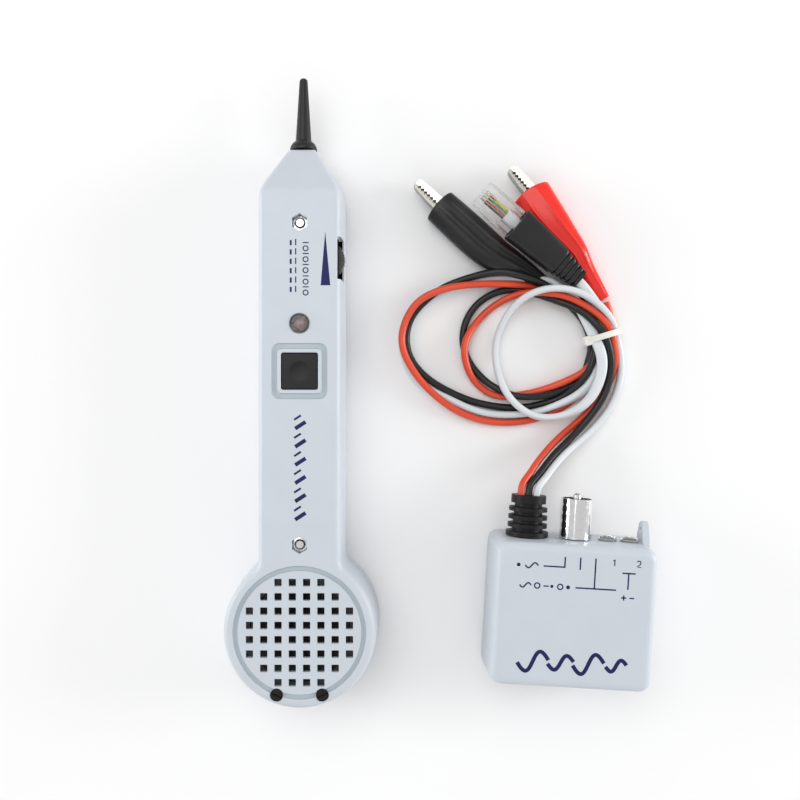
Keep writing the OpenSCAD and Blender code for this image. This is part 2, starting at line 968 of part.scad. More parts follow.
// Red lead, from the strain relief to the tail of the red boot.
red_route = [
    [87, 51.5, 17], [87.5, 56, 16.5], [90.5, 58.5, 14], [94, 63.5, 10.5], [98.5, 68.5, 7.5],
    [103, 73, 5], [110, 78.5, 2], [116, 83.5, 1.5], [121, 89, 1.5], [125, 95.5, 1.5],
    [127.5, 102, 2.5], [127.5, 107.5, 5], [126, 112.5, 7], [125.5, 116.5, 8.5], [121.5, 122.5, 8],
    [116.5, 126.5, 7.5], [109, 131, 7], [101, 133.5, 7], [94.5, 134, 6.5], [88, 133.5, 4],
    [81, 131, 1.5], [74, 126, 1.5], [68.5, 119.5, 2.5], [65.5, 114, 4.5], [65, 108.5, 4.5],
    [66.5, 102.5, 3.5], [69.5, 97, 2], [75, 92.5, 1.5], [80.5, 91, 1.5], [86, 91.5, 1.5],
    [94, 92.5, 1.5], [101.5, 94.5, 2.5], [109, 97.5, 4], [114.5, 100, 4.5], [119, 104.5, 4],
    [121.5, 110, 3], [121, 115.5, 2.5], [120.5, 120.5, 2], [116.5, 125.5, 1.5], [111, 130.5, 1.5],
    [104, 135, 1.5], [97, 137, 1.5], [88.5, 138, 3], [82, 138, 4], [71.5, 137.5, 5.5],
    [62, 136.5, 6.5], [52.5, 134, 7], [45.5, 130, 7], [41, 123, 7], [39, 115.5, 7], [40, 109, 7],
    [43.5, 102.5, 6.5], [49, 95.5, 5], [57.5, 88.5, 3], [67, 83, 2], [77, 80.5, 1.5],
    [86.5, 80.5, 1.5], [94.5, 82, 1.5], [103, 85.5, 1.5], [111, 90.5, 1.5], [117, 96.5, 1.5],
    [121.5, 103, 1.5], [124, 110, 2], [124, 116.5, 2.5], [125.5, 122, 2], [126, 125, 2],
    [124, 130, 2.5]
];

// Black lead, from the strain relief to the tail of the black boot.
black_route = [
    [90, 51.5, 17], [90.5, 56, 16.5], [93.5, 57.5, 14], [98.5, 63.5, 11], [102.5, 67.5, 8.5],
    [107, 71.5, 6.5], [111, 75.5, 5], [115, 80, 4.5], [118.5, 84.5, 4.5], [121.5, 89, 4.5],
    [124, 94, 4.5], [125, 99.5, 5], [125.5, 105, 6], [124, 111, 7.5], [122.5, 116, 8.5],
    [119, 119.5, 8.5], [115.5, 124.5, 7], [110.5, 128, 7], [105, 130.5, 7], [99.5, 133, 4.5],
    [94, 135.5, 2.5], [88, 136.5, 1.5], [82, 136, 1.5], [75, 133, 1.5], [70, 129, 1.5],
    [66, 123, 1.5], [64.5, 116.5, 1.5], [65, 110.5, 1.5], [67.5, 104.5, 1.5], [71.5, 99.5, 1.5],
    [76, 95.5, 2], [80.5, 93, 3], [85.5, 90.5, 4.5], [93.5, 90, 4.5], [101.5, 90.5, 3.5],
    [108.5, 93, 2], [113.5, 96.5, 1.5], [116.5, 101, 1.5], [118, 105.5, 1.5], [119, 110, 2],
    [118.5, 114.5, 2.5], [116.5, 122.5, 2], [112.5, 128, 2], [107.5, 132, 4], [102, 135.5, 6],
    [96, 138.5, 7], [90, 140, 8], [83, 142, 8], [75.5, 142, 6.5], [67.5, 140, 4.5],
    [60, 137.5, 4.5], [54, 134.5, 4.5], [47.5, 129, 4.5], [43, 123.5, 4.5], [41, 116.5, 4.5],
    [41.5, 109.5, 4.5], [44.5, 103, 4], [51, 96.5, 3], [58, 92.5, 2], [67.5, 88.5, 1.5],
    [77, 86.5, 1.5], [86.5, 85.5, 1.5], [94, 86.5, 1.5], [102, 88.5, 1.5], [108.5, 92, 3],
    [113.5, 95.5, 4.5], [117, 101, 4.5], [119, 107, 5], [120, 111.5, 5], [119.5, 115, 5],
    [118.5, 121, 4.5], [115.5, 125.5, 4], [111.5, 130, 2.5], [108, 132.5, 1.5], [103.5, 135, 2],
    [100, 137, 2.5]
];

// Line cord, from the strain relief to the plug boot; the fourth value is its roll.
cord_route = [
    [93, 51, 17, 90], [93.5, 55.5, 16.5, 90], [96.5, 58, 13.5, 90], [100.5, 63, 10.5, 90],
    [105.5, 68, 7.5, 90], [110.5, 71.5, 5, 90], [116, 75.5, 3, 90], [121.5, 81, 2.5, 90],
    [126, 87, 2.5, 90], [129, 94.5, 2.5, 90], [130, 100.5, 2.5, 90], [130, 107.5, 2.5, 90],
    [127, 117, 3.5, 90], [125, 122, 5.5, 90], [121.5, 126.5, 8, 90], [117, 130.5, 9, 90],
    [110, 134, 10.5, 90], [102.5, 135, 10.5, 90], [97, 134.5, 9.5, 90], [91, 132.5, 8, 90],
    [85, 128, 5.5, 90], [81, 121.5, 3.5, 90], [78.5, 115, 2.5, 90], [78, 107.5, 2.5, 90],
    [79, 100, 4.5, 90], [81.5, 93, 7.5, 90], [86, 87.5, 7.5, 90], [92, 83.5, 6, 90],
    [99, 82, 5.5, 80], [106, 83, 5.5, 70], [112.5, 86, 6, 50], [117.5, 91, 6.5, 30],
    [120, 97.5, 7, 15], [121.5, 103.5, 7, 0], [121, 109.5, 7.5, 0], [119, 115, 8, 0],
    [116.5, 123.5, 4.5, 0], [112.5, 128.5, 4.5, 10], [107.5, 133, 3, 40], [101.5, 136.5, 2.5, 70],
    [96, 138, 2.5, 90], [89.5, 139.5, 2.5, 90], [82, 140, 2.5, 90], [72.5, 140, 2.5, 60],
    [63.5, 137.5, 1.5, 20], [54.5, 134, 1.5, 0], [46.5, 128.5, 1.5, 0], [41.5, 121.5, 1.5, 0],
    [40, 114, 1.5, 0], [41, 107, 1.5, 0], [44.5, 99.5, 1.5, 0], [51, 93.5, 1.5, 20],
    [58.5, 89.5, 2, 50], [67.5, 85.5, 2.5, 80], [76.5, 83.5, 2.5, 90], [86, 83.5, 2.5, 90],
    [94, 84.5, 2.5, 90], [102, 87.5, 2.5, 80], [109.5, 91.5, 3.5, 60], [114.5, 96, 4.5, 30],
    [118, 101.5, 5, 10], [120.5, 107, 5, 0], [123, 116, 5.5, 0], [121.5, 121.5, 4.5, 0],
    [119.5, 127.5, 4.5, 0], [117, 131.5, 5, 0], [114, 135.5, 6.5, 0], [111.5, 138, 7.5, 0]
];

module red_lead() {
    color(lead_red)
        sweep([for (q = red_route) [q.x, q.y, q.z, lead_d / 2, lead_d / 2, 0]], 8);
}

module black_lead() {
    color(jet)
        sweep([for (q = black_route) [q.x, q.y, q.z, lead_d / 2, lead_d / 2, 0]], 8);
}

module line_cord() {
    color(cord_grey)
        sweep([for (q = cord_route) [q.x, q.y, q.z, cord_w / 2, cord_t / 2, q[3]]], 8);
}

// Nylon tie: a squared band round the bundle, its ratchet head and the cut tail.
module cable_tie() {
    color(nylon)
        translate([tie_at.x, tie_at.y, 0])
            rotate([0, 0, tie_turn]) {
                rotate([90, 0, 0])
                    translate([0.7, 5.6, -1.3])
                        linear_extrude(2.6)
                            difference() {
                                round_rect(14, 11.2, 3);
                                round_rect(12.2, 9.4, 2.2);
                            }
                translate([-7.6, -2, 6.4])
                    cube([3.4, 4, 4.4]);
            }
}

probe_front_shell();
probe_rear_shell();
probe_tip();
tip_contact();
probe_circuit_board();
volume_pot();
volume_wheel();
button_switch();
power_button();
led_lamp();
led_lens();
speaker_basket();
speaker_cone();
speaker_magnet();
probe_battery();
probe_battery_snap();
headset_terminals();
terminal_inserts();
probe_case_bolts();
probe_case_nuts();
generator_front_shell();
generator_rear_shell();
generator_circuit_board();
generator_battery();
generator_battery_snap();
strain_relief();
toggle_switch_body();
toggle_lever();
toggle_nut();
toggle_guard();
line_1_led();
line_2_led();
generator_case_screw();
red_lead();
black_lead();
line_cord();
cable_tie();
red_clip_fixed_jaw();
red_clip_moving_jaw();
red_clip_spring();
red_clip_rivet();
red_clip_boot();
black_clip_fixed_jaw();
black_clip_moving_jaw();
black_clip_spring();
black_clip_rivet();
black_clip_boot();
modular_plug();
plug_latch();
plug_contacts();
plug_conductors();
plug_boot();
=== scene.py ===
import json
from math import atan2, cos, pi, radians, sin, sqrt

import bmesh
import bpy
import numpy as np
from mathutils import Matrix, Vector


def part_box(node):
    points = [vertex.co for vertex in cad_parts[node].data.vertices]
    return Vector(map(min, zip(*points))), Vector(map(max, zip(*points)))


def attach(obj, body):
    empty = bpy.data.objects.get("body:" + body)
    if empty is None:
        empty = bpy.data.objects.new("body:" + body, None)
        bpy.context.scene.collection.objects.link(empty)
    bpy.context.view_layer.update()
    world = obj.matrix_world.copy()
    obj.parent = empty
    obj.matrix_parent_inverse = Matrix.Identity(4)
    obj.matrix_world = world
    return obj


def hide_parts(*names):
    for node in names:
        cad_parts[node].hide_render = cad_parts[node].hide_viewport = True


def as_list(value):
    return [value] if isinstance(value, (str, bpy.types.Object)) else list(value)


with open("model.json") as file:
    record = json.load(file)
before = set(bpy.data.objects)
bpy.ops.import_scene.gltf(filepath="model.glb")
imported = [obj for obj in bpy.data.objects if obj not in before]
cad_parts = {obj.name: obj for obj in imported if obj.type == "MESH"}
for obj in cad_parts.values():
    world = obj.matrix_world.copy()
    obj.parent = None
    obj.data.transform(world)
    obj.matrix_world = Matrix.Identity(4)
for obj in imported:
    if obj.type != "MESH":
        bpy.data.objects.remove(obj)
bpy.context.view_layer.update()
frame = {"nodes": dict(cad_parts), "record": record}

# Shapes are worked out in millimetres, as in the CAD, and turned into metres in piece().
MM = 0.001

# ---------------------------------------------------------------- sizes from the frame


def box_mm(node):
    """Lowest and highest corner of a CAD node in millimetres."""
    low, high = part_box(node)
    return np.array(low) / MM, np.array(high) / MM


def mount(name):
    """Position in millimetres and axis of one of the record's mounts."""
    found = next(m for m in frame["record"]["mounts"] if m["name"] == name)
    return np.array(found["pos_m"]) / MM, np.array(found["axis"])


def joint(name):
    """One of the record's joints."""
    return next(j for j in frame["record"]["behaviour"]["joints"] if j["name"] == name)


def axes(origin, x_axis, up=(0, 0, 1)):
    """4x4 matrix of a local frame from its origin, X direction and rough Z direction."""
    x = np.array(x_axis, float) / np.linalg.norm(x_axis)
    y = np.cross(up, x)
    y /= np.linalg.norm(y)
    m = np.eye(4)
    m[:3, 0], m[:3, 1], m[:3, 2], m[:3, 3] = x, y, np.cross(x, y), origin
    return m


TOP = box_mm("probe_front_shell")[1][2]
SEAM = box_mm("probe_rear_shell")[1][2]
HEAD_R = -box_mm("probe_rear_shell")[0][0]
NOSE_Y = box_mm("probe_front_shell")[1][1]
GEN_TOP = box_mm("generator_front_shell")[1][2]
GEN_SEAM = box_mm("generator_rear_shell")[1][2]
GEN_MID = sum(box_mm("generator_rear_shell")) / 2 * [1, 1, 0]
GEN = axes(GEN_MID, mount("lanyard_hole")[1])
PLUG = axes([112, 138.6, 8], mount("line_plug")[1])
LED = sum(box_mm("led_lens")) / 2
BUTTON = sum(box_mm("power_button")) / 2


def clip_axes(colour):
    """Frame of a clip: origin in the middle of the boot's mouth, X towards the jaw tips."""
    pivot = np.array(joint(colour + "_jaw_open")["pos_m"]) / MM
    along = mount(colour + "_clip_grip")[0] - pivot
    return axes(pivot + along / 3, along)


# ---------------------------------------------------------------- mesh tools


def unit(rows):
    """Rows scaled to length one."""
    return rows / np.linalg.norm(rows, axis=1)[:, None]


def link(obj):
    """Puts a new object in the scene."""
    bpy.context.scene.collection.objects.link(obj)
    return obj


def moved(points, m):
    """Points of a ring carried by a 4x4 matrix."""
    return np.asarray(points, float) @ m[:3, :3].T + m[:3, 3]


def skin(rings, loop=False, caps="face"):
    """(vertices, faces) through rings of equal count: capped at both ends, or looped."""
    n = len(rings[0])
    steps = [(i, i + 1) for i in range(len(rings) - 1)]
    if loop:
        steps.append((len(rings) - 1, 0))
    faces = [
        (a * n + k, a * n + (k + 1) % n, b * n + (k + 1) % n, b * n + k)
        for a, b in steps
        for k in range(n)
    ]
    for start in () if loop else (0, (len(rings) - 1) * n):
        if caps == "face":
            faces.append(tuple(start + k for k in range(n)))
        else:
            # Strips straight across a ring that is the same on its left and right.
            faces.append((start, start + 1, start + n - 1))
            faces += [
                (start + k, start + k + 1, start + n - k - 1, start + n - k)
                for k in range(1, n // 2 - 1)
            ]
            faces.append((start + n // 2 - 1, start + n // 2, start + n // 2 + 1))
    return np.concatenate([np.asarray(r, float) for r in rings]), faces


def place(part, m):
    """A (vertices, faces) part carried by a 4x4 matrix."""
    return moved(part[0], m), part[1]


def new_object(name, parts):
    """Object in metres from parts in millimetres, its normals turned outwards."""
    bm = bmesh.new()
    for points, faces in parts:
        verts = [bm.verts.new(Vector(p) * MM) for p in points]
        for face in faces:
            bm.faces.new([verts[i] for i in face])
    bmesh.ops.recalc_face_normals(bm, faces=bm.faces)
    mesh = bpy.data.meshes.new(name)
    bm.to_mesh(mesh)
    bm.free()
    return link(bpy.data.objects.new(name, mesh))


def combine(obj, parts, operation="DIFFERENCE"):
    """Cuts parts out of an object, or joins them to it, with the result applied."""
    tool = new_object("tool", parts)
    step = obj.modifiers.new("combine", "BOOLEAN")
    step.operation = operation
    step.solver = "EXACT"
    step.use_self = True
    step.object = tool
    graph = bpy.context.evaluated_depsgraph_get()
    mesh = bpy.data.meshes.new_from_object(obj.evaluated_get(graph))
    obj.modifiers.clear()
    obj.data = mesh
    bpy.data.objects.remove(tool)


def soften(obj, angle=32):
    """Smooth shading that stays sharp at edges steeper than the angle."""
    obj.data.shade_smooth()
    obj.data.set_sharp_from_angle(angle=radians(angle))
    weigh = obj.modifiers.new("weigh", "WEIGHTED_NORMAL")
    weigh.keep_sharp = True


def finish_piece(obj, material, body, slot=None, replaces=(), angle=32):
    """Shading, material and body of a piece that is in its place."""
    soften(obj, angle)
    obj.data.materials.clear()
    obj.data.materials.append(material)
    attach(obj, body)
    if replaces:
        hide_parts(*replaces)
    return obj


def piece(name, parts, material, body, **rest):
    """A finished piece from its parts."""
    return finish_piece(new_object(name, parts), material, body, **rest)


def circle(r, z, n=48, turn=0.0):
    """Ring of a circle about Z."""
    a = np.arange(n) * 2 * pi / n + turn
    return np.stack([r * np.cos(a), r * np.sin(a), np.full(n, float(z))], 1)


def spin(profile, n=48, turn=0.0, loop=False):
    """Solid of revolution about Z from (radius, z) points."""
    return skin([circle(max(r, 0.004), z, n, turn) for r, z in profile], loop)


def rod(r, low, high, n=32):
    """Upright cylinder about Z."""
    return spin([(0, low), (r, low), (r, high), (0, high)], n)


def rect_ring(w, d, r, z, n=5):
    """Ring of a rounded rectangle about Z."""
    a = np.concatenate([np.linspace(q, q + pi / 2, n + 1) for q in np.arange(4) * pi / 2])
    cx = np.where((a < pi / 2 + 1e-6) | (a > 3 * pi / 2 - 1e-6), 1, -1)
    corner = np.repeat([[1, 1], [-1, 1], [-1, -1], [1, -1]], n + 1, 0)
    xy = corner * [w / 2 - r, d / 2 - r] + r * np.stack([np.cos(a), np.sin(a)], 1)
    return np.column_stack([xy, np.full(len(cx), float(z))])


def pad(levels, n=5):
    """Rounded-rectangle solid from (width, depth, corner, z) levels."""
    return skin([rect_ring(*level, n=n) for level in levels])


def along_y(x=0.0, y=0.0, z=0.0):
    """Frame whose Z points along +Y, for what stands out of a wall."""
    m = np.eye(4)
    m[:3, :3] = [[1, 0, 0], [0, 0, 1], [0, -1, 0]]
    m[:3, 3] = x, y, z
    return m


def shift(x=0.0, y=0.0, z=0.0):
    """Matrix that only moves."""
    m = np.eye(4)
    m[:3, 3] = x, y, z
    return m


def across_path(path, roll):
    """Unit vectors across and through a section all along a path; roll is in degrees."""
    t = unit(np.gradient(path, axis=0))
    across = unit(np.cross([0, 0, 1], t))
    up = np.cross(t, across)
    roll = np.radians(np.broadcast_to(roll, len(path)))[:, None]
    return across * np.cos(roll) + up * np.sin(roll), up * np.cos(roll) - across * np.sin(roll)


def squarish(n, exponent):
    """n angles, with their cosines and sines drawn out towards a square."""
    a = (np.arange(n) + 0.5) * 2 * pi / n
    c, s = np.cos(a), np.sin(a)
    return a, np.sign(c) * np.abs(c) ** exponent, np.sign(s) * np.abs(s) ** exponent


def section(path, half_w, half_h, roll=0.0, n=20, power=2.0, relief=None):
    """Rings of a superellipse carried along a path; every size may vary along it.

    relief(s, a) adds a height in millimetres at path fraction s and angle a."""
    path = np.asarray(path, float)
    side, top = across_path(path, roll)
    a, cx, sx = squarish(n, 2 / np.broadcast_to(power, len(path))[:, None])
    wide = np.broadcast_to(half_w, len(path))[:, None] * cx
    high = np.broadcast_to(half_h, len(path))[:, None] * sx
    if relief is not None:
        lift = np.array([[relief(u, q) for q in a] for u in np.linspace(0, 1, len(path))])
        wide = wide + lift * np.cos(a)
        high = high + lift * np.sin(a)
    return path[:, None] + side[:, None] * wide[..., None] + top[:, None] * high[..., None]


def spline(points, per=6):
    """Smooth curve that runs near its points and meets the first and last of them."""
    p = np.asarray(points, float)
    p = np.vstack([2 * p[0] - p[1], p, 2 * p[-1] - p[-2]])
    u = np.linspace(0, 1, per, endpoint=False)[:, None]
    parts = [
        ((1 - u) ** 3 * p[i] + (3 * u**3 - 6 * u**2 + 4) * p[i + 1]
         + (-3 * u**3 + 3 * u**2 + 3 * u + 1) * p[i + 2] + u**3 * p[i + 3]) / 6
        for i in range(len(p) - 3)
    ]
    return np.vstack(parts + [p[-2][None]])


# ---------------------------------------------------------------- materials


def blank(name):
    """New node material: (material, tree, principled shader)."""
    mat = bpy.data.materials.new(name)
    mat.use_nodes = True
    tree = mat.node_tree
    return mat, tree, tree.nodes["Principled BSDF"]


def noise(tree, scale, detail=4.0, rough=0.5):
    """Noise in object space, in metres."""
    coord = tree.nodes.new("ShaderNodeTexCoord")
    tex = tree.nodes.new("ShaderNodeTexNoise")
    tex.inputs["Scale"].default_value = scale
    tex.inputs["Detail"].default_value = detail
    tex.inputs["Roughness"].default_value = rough
    tree.links.new(coord.outputs["Object"], tex.inputs["Vector"])
    return tex.outputs["Fac"]


def ramp(tree, value, stops, interpolation="LINEAR"):
    """Colour ramp from (place, colour) stops."""
    node = tree.nodes.new("ShaderNodeValToRGB")
    node.color_ramp.interpolation = interpolation
    while len(node.color_ramp.elements) < len(stops):
        node.color_ramp.elements.new(0.5)
    for element, (at, colour) in zip(node.color_ramp.elements, stops):
        element.position = at
        element.color = (*colour, 1.0)
    tree.links.new(value, node.inputs["Fac"])
    return node.outputs["Color"]


def grey(v):
    """Grey as a colour."""
    return (v, v, v)


def bump(tree, shader, value, height, distance=0.0001):
    """Bump from a value, in metres of relief."""
    node = tree.nodes.new("ShaderNodeBump")
    node.inputs["Strength"].default_value = height
    node.inputs["Distance"].default_value = distance
    tree.links.new(value, node.inputs["Height"])
    tree.links.new(node.outputs["Normal"], shader.inputs["Normal"])


def plastic(name, colour, rough=0.4, mottle=0.03, grain=2200.0, relief=0.25, **sockets):
    """Moulded plastic or vinyl: slight colour drift, uneven gloss and a fine grain."""
    mat, tree, shader = blank(name)
    drift = noise(tree, 70.0, 3.0)
    dark = [c * (1 - mottle) for c in colour]
    light = [min(1.0, c * (1 + mottle)) for c in colour]
    tree.links.new(ramp(tree, drift, [(0.35, dark), (0.65, light)]), shader.inputs["Base Color"])
    fine = noise(tree, grain, 2.0, 0.6)
    gloss = ramp(tree, fine, [(0.3, grey(rough * 0.88)), (0.7, grey(rough * 1.12))])
    tree.links.new(gloss, shader.inputs["Roughness"])
    bump(tree, shader, fine, relief)
    for socket, value in sockets.items():
        shader.inputs[socket.replace("_", " ")].default_value = value
    return mat


def metal(name, colour, rough=0.18, grain=900.0, relief=0.08):
    """Plated metal with faint handling marks."""
    mat, tree, shader = blank(name)
    shader.inputs["Metallic"].default_value = 1.0
    marks = noise(tree, grain, 6.0, 0.7)
    tree.links.new(
        ramp(tree, marks, [(0.3, [c * 0.9 for c in colour]), (0.7, colour)]),
        shader.inputs["Base Color"],
    )
    tree.links.new(
        ramp(tree, marks, [(0.35, grey(rough * 0.7)), (0.75, grey(rough * 1.5))]),
        shader.inputs["Roughness"],
    )
    bump(tree, shader, marks, relief, 0.00003)
    return mat


def clear_plastic(name, tint, rough, clearness, ior=1.49):
    """Clear moulded plastic with a faint ripple."""
    mat = plastic(name, tint, rough, 0.02, 400.0, 0.1)
    shader = mat.node_tree.nodes["Principled BSDF"]
    shader.inputs["Transmission Weight"].default_value = clearness
    shader.inputs["IOR"].default_value = ior
    return mat


SHELL = plastic("shell_plastic", (0.555, 0.60, 0.65), 0.42, 0.012, 2600.0, 0.22)
# Darker copy of the shell grey for the groove floors: painted shade
SHELL_GROOVE_SHADE = plastic("shell_groove_painted_shade", (0.43, 0.49, 0.54), 0.45, 0.02, 2600.0, 0.2)
PRINT = plastic("print_ink", (0.010, 0.013, 0.085), 0.5, 0.08, 3000.0, 0.15,
                Specular_IOR_Level=0.25)
TIP = plastic("tip_plastic", (0.013, 0.013, 0.013), 0.40, 0.15, 1800.0, 0.35,
              Specular_IOR_Level=0.35)
BLACK = plastic("black_plastic", (0.010, 0.010, 0.010), 0.32, 0.15, 2400.0, 0.25,
                Specular_IOR_Level=0.25)
RUBBER = plastic("grommet_rubber", (0.006, 0.006, 0.006), 0.45, 0.2, 1500.0, 0.4,
                 Specular_IOR_Level=0.25)
BLACK_VINYL = plastic("black_vinyl", (0.012, 0.012, 0.013), 0.33, 0.2, 700.0, 0.5,
                      Specular_IOR_Level=0.4)
BLACK_WIRE = plastic("black_insulation", (0.012, 0.012, 0.013), 0.36, 0.15, 1500.0, 0.25,
                     Specular_IOR_Level=0.4)
RED_VINYL = plastic("red_vinyl", (0.82, 0.025, 0.015), 0.14, 0.06, 260.0, 0.35)
RED_WIRE = plastic("red_insulation", (0.72, 0.07, 0.025), 0.34, 0.06, 1500.0, 0.25)
CORD_GREY = plastic("cord_jacket", (0.68, 0.71, 0.735), 0.36, 0.03, 1500.0, 0.25)
NYLON = plastic("nylon_tie", (0.78, 0.76, 0.70), 0.35, 0.03, 1800.0, 0.2)
BOARD = plastic("circuit_board", (0.02, 0.16, 0.06), 0.35, 0.25, 900.0, 0.2)
WHEEL = plastic("knurled_wheel", (0.010, 0.010, 0.010), 0.2, 0.3, 1300.0, 1.0)
CONE = plastic("speaker_paper", (0.03, 0.03, 0.032), 0.8, 0.2, 1200.0, 0.8)
WRAP = plastic("battery_wrap", (0.03, 0.05, 0.2), 0.3, 0.1, 600.0, 0.1)
RED_LAMP = plastic("lamp_epoxy", (0.26, 0.015, 0.03), 0.15, 0.1, 600.0, 0.1)
SWITCH = plastic("switch_body", (0.02, 0.07, 0.25), 0.35, 0.1, 1200.0, 0.2)
CHROME = metal("chrome", (0.95, 0.95, 0.95), 0.12)
STEEL = metal("zinc_steel", (0.62, 0.61, 0.58), 0.32)
# One jaw steel in two copies: the moving jaw's is darkened as painted shade, the fixed jaw's is the
# lit copy
JAW_SHADE_COPY = metal("jaw_painted_shade", (0.34, 0.33, 0.30), 0.25, 1500.0, 0.3)
JAW_LIT_COPY = metal("jaw_lit_copy", (0.66, 0.64, 0.58), 0.22, 1500.0, 0.3)
# Speaker steel darkened so the grille holes show dark: painted shade
SPEAKER_SHADE_STEEL = metal("speaker_steel_painted_shade", (0.05, 0.05, 0.052), 0.45)
BRASS = metal("plated_brass", (0.80, 0.60, 0.26), 0.22)
CLEAR = clear_plastic("clear_plastic", (0.99, 0.995, 1.0), 0.05, 0.97, ior=1.2)
LENS = clear_plastic("lens_plastic", (1.0, 0.99, 0.97), 0.03, 0.97)

# ---------------------------------------------------------------- camera and stage

CAMERA_AT = (0.0387, 0.0895, 0.4)


def camera():
    """Straight down from 0.4 m above the table, +Y up in the picture."""
    data = bpy.data.cameras.new("camera")
    data.lens = 43.2
    data.sensor_width = 36.0
    data.clip_start = 0.01
    obj = link(bpy.data.objects.new("camera", data))
    obj.location = CAMERA_AT
    bpy.context.scene.camera = obj


def area_light(name, at, target, size, power, colour=(1, 1, 1)):
    """Square soft light that faces its target."""
    data = bpy.data.lights.new(name, "AREA")
    data.size = size
    data.energy = power
    data.color = colour
    obj = link(bpy.data.objects.new(name, data))
    obj.location = at
    obj.rotation_euler = (Vector(target) - Vector(at)).to_track_quat("-Z", "Y").to_euler()


def stage():
    """Pale floor, soft studio light from all round and a little more from the upper left."""
    floor = new_object("floor", [([(-3e3, -3e3, 0), (3e3, -3e3, 0), (3e3, 3e3, 0), (-3e3, 3e3, 0)],
                                  [(0, 1, 2, 3)])])
    mat, tree, shader = blank("floor_paper")
    tone = ramp(tree, noise(tree, 3.0), [(0.3, grey(0.90)), (0.7, grey(0.92))])
    tree.links.new(tone, shader.inputs["Base Color"])
    shader.inputs["Roughness"].default_value = 0.9
    floor.data.materials.append(mat)
    middle = (0.05, 0.09, 0.0)
    area_light("overhead", (-0.25, 0.55, 1.25), middle, 1.0, 5.5)
    area_light("left", (-1.1, 0.2, 0.28), middle, 0.5, 5.5)
    area_light("right", (1.2, 0.2, 0.28), middle, 0.5, 8.0)
    area_light("front", (0.1, -1.0, 0.5), middle, 0.8, 1.5)
    world = bpy.data.worlds.new("soft_room")
    world.use_nodes = True
    world.node_tree.nodes["Background"].inputs["Color"].default_value = (1.0, 1.0, 1.0, 1.0)
    world.node_tree.nodes["Background"].inputs["Strength"].default_value = 0.62
    bpy.context.scene.world = world
    bpy.context.scene.view_settings.view_transform = "Standard"


camera()
stage()

# ---------------------------------------------------------------- cords

# The CAD's routes in millimetres, the line cord's with its roll in degrees. Their points were
# picked by eye on the photograph; a script turned them into millimetres, to the nearest half.
RED_ROUTE = [
    (87, 51.5, 17), (87.5, 56, 16.5), (90.5, 58.5, 14), (94, 63.5, 10.5), (98.5, 68.5, 7.5),
    (103, 73, 5), (110, 78.5, 2), (116, 83.5, 1.5), (121, 89, 1.5), (125, 95.5, 1.5),
    (127.5, 102, 2.5), (127.5, 107.5, 5), (126, 112.5, 7), (125.5, 116.5, 8.5), (121.5, 122.5, 8),
    (116.5, 126.5, 7.5), (109, 131, 7), (101, 133.5, 7), (94.5, 134, 6.5), (88, 133.5, 4),
    (81, 131, 1.5), (74, 126, 1.5), (68.5, 119.5, 2.5), (65.5, 114, 4.5), (65, 108.5, 4.5),
    (66.5, 102.5, 3.5), (69.5, 97, 2), (75, 92.5, 1.5), (80.5, 91, 1.5), (86, 91.5, 1.5),
    (94, 92.5, 1.5), (101.5, 94.5, 2.5), (109, 97.5, 4), (114.5, 100, 4.5), (119, 104.5, 4),
    (121.5, 110, 3), (121, 115.5, 2.5), (120.5, 120.5, 2), (116.5, 125.5, 1.5), (111, 130.5, 1.5),
    (104, 135, 1.5), (97, 137, 1.5), (88.5, 138, 3), (82, 138, 4), (71.5, 137.5, 5.5),
    (62, 136.5, 6.5), (52.5, 134, 7), (45.5, 130, 7), (41, 123, 7), (39, 115.5, 7), (40, 109, 7),
    (43.5, 102.5, 6.5), (49, 95.5, 5), (57.5, 88.5, 3), (67, 83, 2), (77, 80.5, 1.5),
    (86.5, 80.5, 1.5), (94.5, 82, 1.5), (103, 85.5, 1.5), (111, 90.5, 1.5), (117, 96.5, 1.5),
    (121.5, 103, 1.5), (124, 110, 2), (124, 116.5, 2.5), (125.5, 122, 2), (126, 125, 2),
    (124, 130, 2.5),
]
